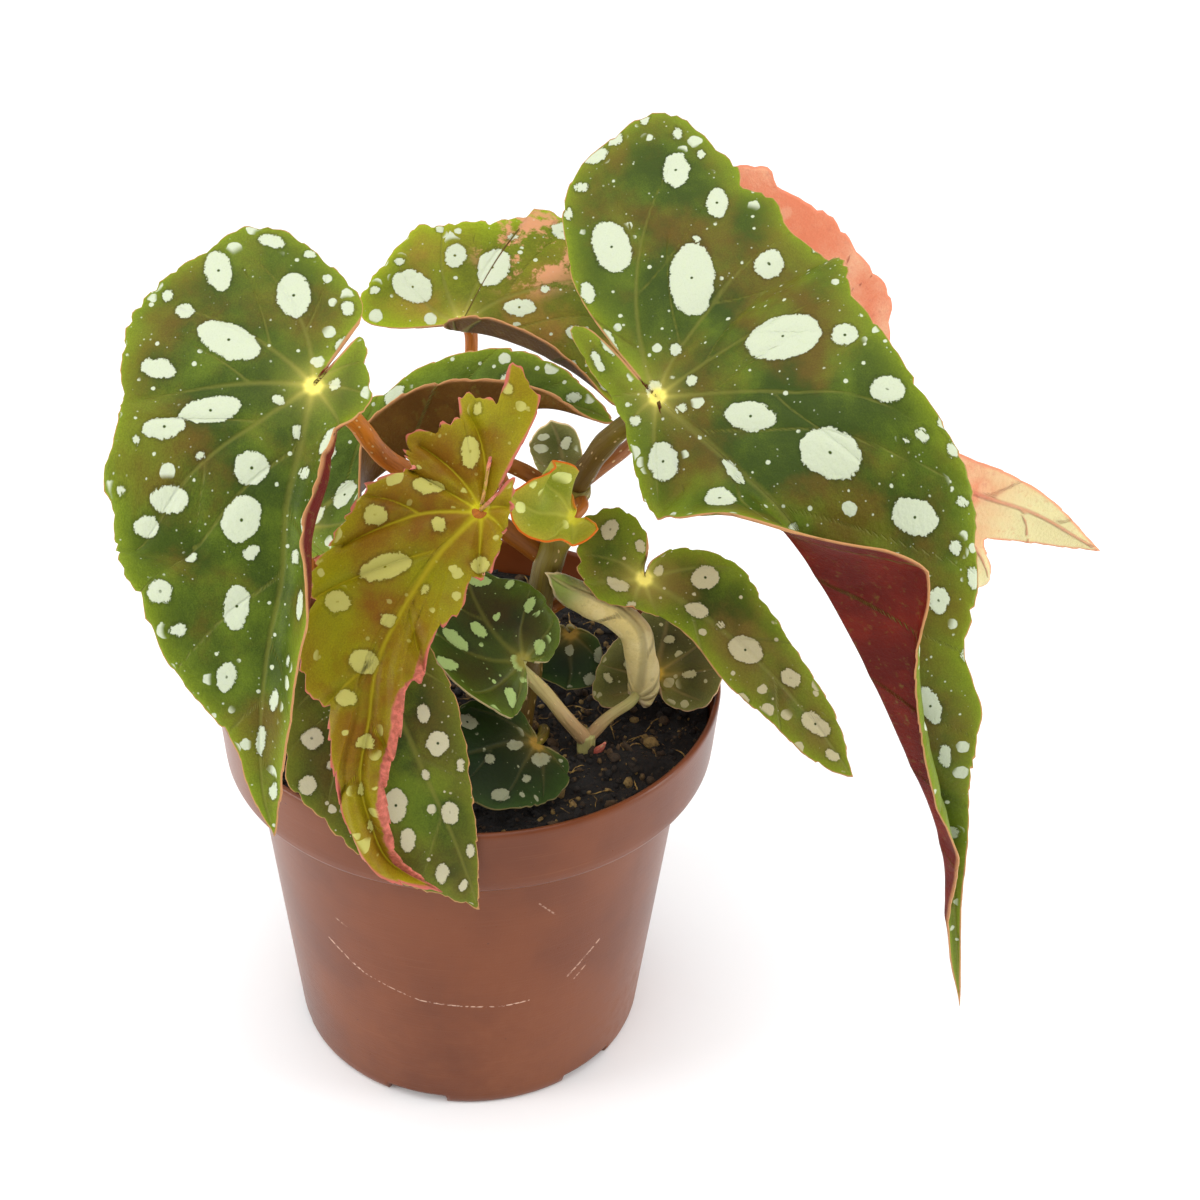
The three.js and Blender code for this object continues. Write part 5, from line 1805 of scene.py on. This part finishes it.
@dataclass(frozen=True)
class Pot:
    """A round nursery pot with a banded rim and slots under its edge.

    Attributes:
        height: millimetres from the floor to the lip.
        rim: outer radius at the lip.
        band_foot: height of the band's lower edge.
        band_radius: outer radius there.
        shoulder: outer radius of the body just below the band.
        base: outer radius of the underside.
        wall: thickness.
        slots: number of drainage slots.
        slot_turn: degrees from +X to the first slot's middle.
        slot_width: of each slot.
        slot_height: of each slot.
        skin: its finish.
    """

    height: float = 101.0
    rim: float = 60.0
    band_foot: float = 83.5
    band_radius: float = 58.8
    shoulder: float = 52.5
    base: float = 43.5
    wall: float = 1.4
    slots: int = 6
    slot_turn: float = -108.0
    slot_width: float = 15.0
    slot_height: float = 3.0
    skin: Plastic = Plastic()

    def outside(self, height: float) -> float:
        """Outer radius at a height below the band."""
        return self.base + (self.shoulder - self.base) * height / self.band_foot

    def profile(self) -> list[tuple[float, float]]:
        """The wall's section, from the underside's centre round the outside to the inner floor.

        Returns:
            (radius, height) pairs.
        """
        w = self.wall
        rows = [(0.0, 0.0), (20.0, 0.0), (34.5, 0.0), (self.base - 1.6, 0.0), (self.base - 0.6, 0.35),
                (self.base - 0.1, 1.1), (self.outside(2.2), 2.2), (self.outside(3.6), 3.6)]
        rows += [(self.outside(z), z) for z in np.linspace(8, self.band_foot - 2.5, 26)]
        rows += [(self.shoulder - 0.1, self.band_foot - 0.9), (self.shoulder + 0.25, self.band_foot - 0.25),
                 (self.shoulder + 0.9, self.band_foot), (self.band_radius - 0.8, self.band_foot),
                 (self.band_radius - 0.25, self.band_foot + 0.25), (self.band_radius, self.band_foot + 0.9)]
        top = self.height - 1.0
        for z in np.linspace(self.band_foot + 3, top - 0.8, 6):
            rows.append((self.band_radius + (self.rim - self.band_radius) * (z - self.band_foot)
                         / (top - self.band_foot), z))
        rows += [(self.rim, top), (self.rim - 0.2, self.height - 0.25), (self.rim - 0.7, self.height),
                 (self.rim - w + 0.1, self.height - 0.2), (self.rim - w, top),
                 (self.band_radius - w, self.band_foot + 2 * w + 0.6),
                 (self.band_radius - w - 0.6, self.band_foot + 2 * w),
                 (self.shoulder - w + 0.6, self.band_foot + w), (self.shoulder - w, self.band_foot + w - 0.6),
                 (self.outside(5.0) - w, POT_FLOOR), (0.0, POT_FLOOR)]
        return rows

    def build(self) -> bpy.types.Object:
        """Makes the pot's mesh and material, and stands it in for its CAD node.

        Returns:
            The finished piece.
        """
        rows = np.array(self.profile())
        turn = self._columns()
        spread = np.abs((np.degrees(turn) - self.slot_turn + 180 / self.slots) % (360 / self.slots)
                        - 180 / self.slots)
        in_slot = self.base * np.radians(spread) < self.slot_width / 2
        radius = np.repeat(rows[:, :1], len(turn), 1)
        height = np.repeat(rows[:, 1:], len(turn), 1)
        for row in (3, 4, 5, 6):
            height[row, in_slot] = self.slot_height
        radius[3:7, in_slot] = np.array([34.6, 38.0, 41.0, self.outside(self.slot_height)])[:, None]
        sway = 0.12 * np.sin(3 * turn + 0.7) + 0.08 * np.sin(5 * turn)
        radius[1:-1] += sway * (height[1:-1] / self.height) ** 2
        radius = np.minimum(radius, self.rim)
        verts = np.stack([radius * np.cos(turn), radius * np.sin(turn), height], -1)
        points = np.vstack([[[0, 0, 0]], verts[1:-1].reshape(-1, 3), [[0, 0, rows[-1, 1]]]])
        arc = (turn + math.pi / 2 + math.pi) % (2 * math.pi) - math.pi
        flat = np.stack([radius[1:-1] * arc, height[1:-1], np.zeros_like(height[1:-1])], -1).reshape(-1, 3)
        flat = np.vstack([[0, 0, 0], flat, [0, 0, POT_FLOOR]])
        made = make_mesh("pot_look", points, capped_faces(len(rows) - 2, len(turn)), {"flat": flat})
        made.data.materials.append(self.skin.material())
        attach(made, "root")
        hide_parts("pot")
        log.info("pot: %d columns", len(turn))
        return made

    def _columns(self) -> Array:
        """Angles of the mesh's columns, with close pairs at each slot's ends.

        Returns:
            The angles in radians, rising.
        """
        turn = list(np.linspace(0, 2 * math.pi, 168, endpoint=False))
        half = self.slot_width / 2 / self.base
        for k in range(self.slots):
            middle = math.radians(self.slot_turn + 360 * k / self.slots)
            turn += [middle + side * (half + d) for side in (-1, 1) for d in (-0.002, 0.006)]
        return np.unique(np.round(np.mod(turn, 2 * math.pi), 6))


# Soil


@dataclass(frozen=True)
class Earth:
    """The finishes of the soil, its crumbs and its fibres.

    Attributes:
        hollow_shade: colour of the mix in the low spots of its bump, darkened as painted shade.
        crest: colour of the raised spots of its bump.
        bark: colour of the bits in it.
        crumb: darkest and lightest colour of most crumbs.
        chip: colour of the palest crumbs.
        wet: colour of the dark patches on a crumb.
        fibre: darkest and lightest colour of the fibres.
    """

    hollow_shade: Colour = Colour(11, 8, 5)
    crest: Colour = Colour(42, 30, 16)
    bark: Colour = Colour(92, 72, 46)
    crumb: tuple[Colour, Colour] = (Colour(20, 14, 8), Colour(82, 60, 32))
    chip: Colour = Colour(142, 114, 62)
    wet: Colour = Colour(10, 8, 6)
    fibre: tuple[Colour, Colour] = (Colour(70, 48, 22), Colour(168, 134, 66))

    def bulk_material(self) -> bpy.types.Material:
        """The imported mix's material.

        Returns:
            The material.
        """
        paint = Paint("soil_earth")
        place = paint.place()
        fine = paint.noise(place, 1.1, 5.0, 0.7)
        gap, chance = paint.cells(place, 0.6)
        # Painted shade: the mix is darkest where its bump is lowest, as in shaded hollows.
        tone = paint.mix(self.hollow_shade, self.crest, fine.step(0.4, 0.75))
        tone = paint.mix(tone, self.bark, chance.step(0.86, 0.9) * gap.step(0.7, 0.2) * 0.7)
        return paint.finish(Base_Color=tone, Roughness=fine * 0.3 + 0.65,
                            Normal=paint.bump(fine * 1.2 + gap * -0.5, 1.0))

    def crumb_material(self) -> bpy.types.Material:
        """The crumbs' material, which reads a random tint from each crumb.

        Returns:
            The material.
        """
        paint = Paint("soil_crumb")
        tint = paint.mark("tint")
        fine = paint.noise(paint.place(), 1.6, 4.0, 0.7)
        tone = paint.mix(*self.crumb, tint.step(0.25, 0.8))
        tone = paint.mix(tone, self.chip, tint.step(0.82, 0.88))
        tone = paint.mix(tone, self.wet, fine.step(0.45, 0.75) * 0.6)
        return paint.finish(Base_Color=tone, Roughness=fine * 0.3 + 0.6, Normal=paint.bump(fine, 0.8))

    def fibre_material(self) -> bpy.types.Material:
        """The fibres' material.

        Returns:
            The material.
        """
        paint = Paint("soil_fibre")
        fine = paint.noise(paint.place(), 0.6, 3.0)
        tone = paint.mix(*self.fibre, fine.step(0.35, 0.65))
        return paint.finish(Base_Color=tone, Roughness=fine * 0.2 + 0.6)


@dataclass(frozen=True)
class Soil:
    """Dark potting mix with crumbs, bark bits and fine roots.

    Attributes:
        level: height of its middle.
        radius: reach of its top.
        wall: (radius, height) of its side, from the foot up.
        clod: (x, y, height) of one large clod.
        crumbs: number of loose crumbs.
        fibres: number of loose fibres.
        seed: start of its random draws.
        skin: its finishes.
    """

    level: float = SOIL_LEVEL
    radius: float = 57.2
    wall: Table = ((41.0, 5.0), (50.4, 85.4), (56.6, 87.2))
    clod: tuple[float, float, float] = (37.0, -24.0, 2.2)
    crumbs: int = 4400
    fibres: int = 190
    seed: int = 41
    skin: Earth = Earth()

    def top(self, x: Array, y: Array) -> Array:
        """Height of the soil: level less a drop at the wall, plus lumps of three sizes and one clod.

        Args:
            x: places to the right.
            y: places to the back.

        Returns:
            A height for each.
        """
        away = np.hypot(x, y) / self.radius
        places = np.stack([x, y], -1).reshape(-1, 2)
        lumps = (0.9 * ripples(places, 17, self.seed) + 0.55 * ripples(places, 7, self.seed + 1)
                 + 0.35 * ripples(places, 3.2, self.seed + 2)).reshape(np.shape(x))
        across, back, rise = self.clod
        clod = rise * np.exp(-((x - across) ** 2 + (y - back) ** 2) / 30)
        return self.level - 2 * away**4 + 0.75 * lumps + clod - 0.3

    def build(self) -> None:
        """Makes the soil's bulk, crumbs and fibres."""
        bulk = self._bulk()
        crumbs = self._crumbs()
        fibres = self._fibres()
        for made in (bulk, crumbs, fibres):
            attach(made, "root")
        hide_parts("soil")
        log.info("soil: %d crumbs and %d fibres", self.crumbs, self.fibres)

    def _bulk(self) -> bpy.types.Object:
        """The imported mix: rings from the foot's centre up the side and over the top.

        Returns:
            The piece.
        """
        columns, rings = 200, 60
        turn = np.linspace(0, 2 * math.pi, columns, endpoint=False)
        ring = (np.arange(1, rings + 1) / rings)[::-1, None]
        x, y = self.radius * ring * np.cos(turn), self.radius * ring * np.sin(turn)
        surface = np.stack([x, y, self.top(x, y)], -1)
        side = [np.stack([r * np.cos(turn), r * np.sin(turn), np.full(columns, z)], -1)
                for r, z in self.wall]
        points = np.vstack([[[0, 0, self.wall[0][1]]], *side, surface.reshape(-1, 3),
                            [[0, 0, float(self.top(np.zeros(1), np.zeros(1))[0])]]])
        made = make_mesh("soil_bulk", points, capped_faces(rings + len(side), columns))
        made.data.materials.append(self.skin.bulk_material())
        return made

    def _scatter(self, count: int, draw: np.random.Generator) -> tuple[Array, Array]:
        """Random places over the soil's top, even by area.

        Args:
            count: how many.
            draw: the source of the random numbers.

        Returns:
            x and y of each.
        """
        away = (self.radius - 1.2) * np.sqrt(draw.uniform(0, 1, count))
        turn = draw.uniform(0, 2 * math.pi, count)
        return away * np.cos(turn), away * np.sin(turn)

    def _crumbs(self) -> bpy.types.Object:
        """Small rough lumps, each a stretched ball with random dents, sunk a third into the soil.

        Returns:
            The piece.
        """
        draw = np.random.default_rng(self.seed)
        ball, faces = self._ball()
        x, y = self._scatter(self.crumbs, draw)
        size = draw.gamma(2.0, 0.21, self.crumbs).clip(0.2, 1.7)
        stretch = draw.uniform(0.55, 1.4, (self.crumbs, 1, 3))
        dents = 1 + draw.uniform(-0.28, 0.28, (self.crumbs, len(ball), 1))
        spin = np.linalg.qr(draw.normal(size=(self.crumbs, 3, 3)))[0]
        local = (ball * stretch * dents) @ spin * size[:, None, None]
        centre = np.stack([x, y, self.top(x, y) + 0.35 * size], -1)
        verts = (local + centre[:, None]).reshape(-1, 3)
        away = np.hypot(verts[:, 0], verts[:, 1])
        verts[:, :2] *= np.minimum(1, self.radius / np.maximum(away, 1))[:, None]
        tint = np.repeat(draw.uniform(0, 1, self.crumbs), len(ball))
        every = (faces[None] + (np.arange(self.crumbs) * len(ball))[:, None, None]).reshape(-1, 3)
        made = make_mesh("soil_crumbs", verts, [every], {"tint": tint})
        made.data.materials.append(self.skin.crumb_material())
        return made

    @staticmethod
    def _ball() -> tuple[Array, Array]:
        """A ball of 20 triangles: corners at (0, +-1, +-g) and its turns, g the golden ratio.

        Returns:
            Corners and faces.
        """
        g = (1 + math.sqrt(5)) / 2
        corners = ((-1, g, 0), (1, g, 0), (-1, -g, 0), (1, -g, 0), (0, -1, g), (0, 1, g), (0, -1, -g),
                   (0, 1, -g), (g, 0, -1), (g, 0, 1), (-g, 0, -1), (-g, 0, 1))
        faces = ((0, 11, 5), (0, 5, 1), (0, 1, 7), (0, 7, 10), (0, 10, 11), (1, 5, 9), (5, 11, 4),
                 (11, 10, 2), (10, 7, 6), (7, 1, 8), (3, 9, 4), (3, 4, 2), (3, 2, 6), (3, 6, 8),
                 (3, 8, 9), (4, 9, 5), (2, 4, 11), (6, 2, 10), (8, 6, 7), (9, 8, 1))
        return unit(np.array(corners, float)), np.array(faces)

    def _fibres(self) -> bpy.types.Object:
        """Thin bent threads that lie on the soil.

        Returns:
            The piece.
        """
        draw = np.random.default_rng(self.seed + 9)
        x, y = self._scatter(self.fibres, draw)
        verts, faces = [], []
        sides, steps = 5, 9
        for k in range(self.fibres):
            way = draw.uniform(0, 2 * math.pi)
            length = draw.uniform(3, 9)
            bend = way + np.cumsum(draw.normal(0, 0.28, steps))
            px = x[k] + np.cumsum(np.cos(bend)) * length / steps
            py = y[k] + np.cumsum(np.sin(bend)) * length / steps
            away = np.hypot(px, py)
            keep = np.minimum(1, (self.radius - 0.6) / np.maximum(away, 1))
            px, py = px * keep, py * keep
            pz = self.top(px, py) + 0.25 + 0.8 * np.sin(np.linspace(0, math.pi, steps)) * draw.uniform(0, 1)
            line = np.stack([px, py, pz], 1)
            along = unit(np.gradient(line, axis=0))
            side = unit(np.cross(along, (0, 0, 1.0)))
            up = np.cross(along, side)
            turn = np.arange(sides) * 2 * math.pi / sides
            radius = draw.uniform(0.1, 0.22) * np.sin(np.linspace(0.35, math.pi - 0.35, steps))
            ring = side[:, None] * np.cos(turn)[:, None] + up[:, None] * np.sin(turn)[:, None]
            verts.append((line[:, None] + ring * radius[:, None, None]).reshape(-1, 3))
            base = k * sides * steps
            faces.append(grid_faces(steps, sides, wrap=True) + base)
            around = np.arange(sides)
            faces.append(np.array([around[::-1] + base, around + base + sides * (steps - 1)]))
        made = make_mesh("soil_fibres", np.vstack(verts), faces)
        made.data.materials.append(self.skin.fibre_material())
        return made


# Studio


class Light(Enum):
    """Soft studio lights: place in metres, size in metres, power in watts."""

    TOP = ((-0.1, -0.1, 1.3), 1.8, 15.5)
    LEFT = ((-1.0, -0.25, 0.35), 0.45, 5.0)
    RIGHT = ((1.0, -0.2, 0.35), 0.45, 5.0)
    FRONT = ((0.1, -1.3, 0.9), 0.9, 2.0)


@dataclass(frozen=True)
class Paper:
    """White matt paper, a little uneven.

    Attributes:
        cool: its bluest colour, linear.
        warm: its most neutral colour, linear.
    """

    cool: tuple = (0.95, 0.96, 0.97, 1.0)
    warm: tuple = (0.97, 0.97, 0.97, 1.0)

    def material(self) -> bpy.types.Material:
        """The paper's material.

        Returns:
            The material.
        """
        paint = Paint("floor_paper")
        tone = paint.mix(self.cool, self.warm, paint.noise(paint.place(), 0.01, 3.0))
        return paint.finish(Base_Color=tone, Roughness=0.8)


@dataclass(frozen=True)
class Studio:
    """The floor, the lights and the surrounding light.

    Attributes:
        aim: the point that the lights face, metres.
        surround: strength of the white that surrounds the scene.
        reach: half of the floor's width, metres.
        paper: the floor's finish.
    """

    aim: tuple[float, float, float] = (0.0, 0.0, 0.12)
    surround: float = 0.66
    reach: float = 3.0
    paper: Paper = Paper()

    def build(self) -> None:
        """Makes the floor, the lights and the surrounding light."""
        self._floor()
        for light in Light:
            self._light(light)
        world = bpy.data.worlds.new("studio")
        bpy.context.scene.world = world
        world.use_nodes = True
        background = world.node_tree.nodes["Background"]
        background.inputs["Color"].default_value = (1.0, 1.0, 1.0, 1.0)
        background.inputs["Strength"].default_value = self.surround
        bpy.context.scene.view_settings.view_transform = "Standard"
        log.info("studio: %d lights", len(Light))

    def _floor(self) -> None:
        """Makes the floor, a flat square."""
        size = self.reach / MM
        verts = np.array([(-size, -size, 0), (size, -size, 0), (size, size, 0), (-size, size, 0)])
        floor = make_mesh("floor", verts, [np.array([[0, 1, 2, 3]])])
        floor.data.materials.append(self.paper.material())

    def _light(self, light: Light) -> None:
        """Makes one light, turned to the aim.

        Args:
            light: which light.
        """
        place, size, power = light.value
        data = bpy.data.lights.new(light.name.lower(), "AREA")
        data.shape = "DISK"
        data.size = size
        data.energy = power
        made = bpy.data.objects.new(light.name.lower(), data)
        bpy.context.scene.collection.objects.link(made)
        made.location = place
        made.rotation_mode = "QUATERNION"
        made.rotation_quaternion = (Vector(self.aim) - Vector(place)).to_track_quat("-Z", "Y")


# The scene


def main() -> None:
    """Builds the whole scene."""
    logging.basicConfig(level=logging.INFO, format="%(name)s %(message)s")
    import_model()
    eye = Eye()
    eye.build()
    Studio().build()
    blades = {leaf.node: leaf.blade for leaf in LEAVES}
    Pot().build()
    Soil().build()
    for shoot in SHOOTS:
        shoot.build(blades)
    for leaf in LEAVES:
        leaf.build(eye)


if __name__ == "__main__":
    main()
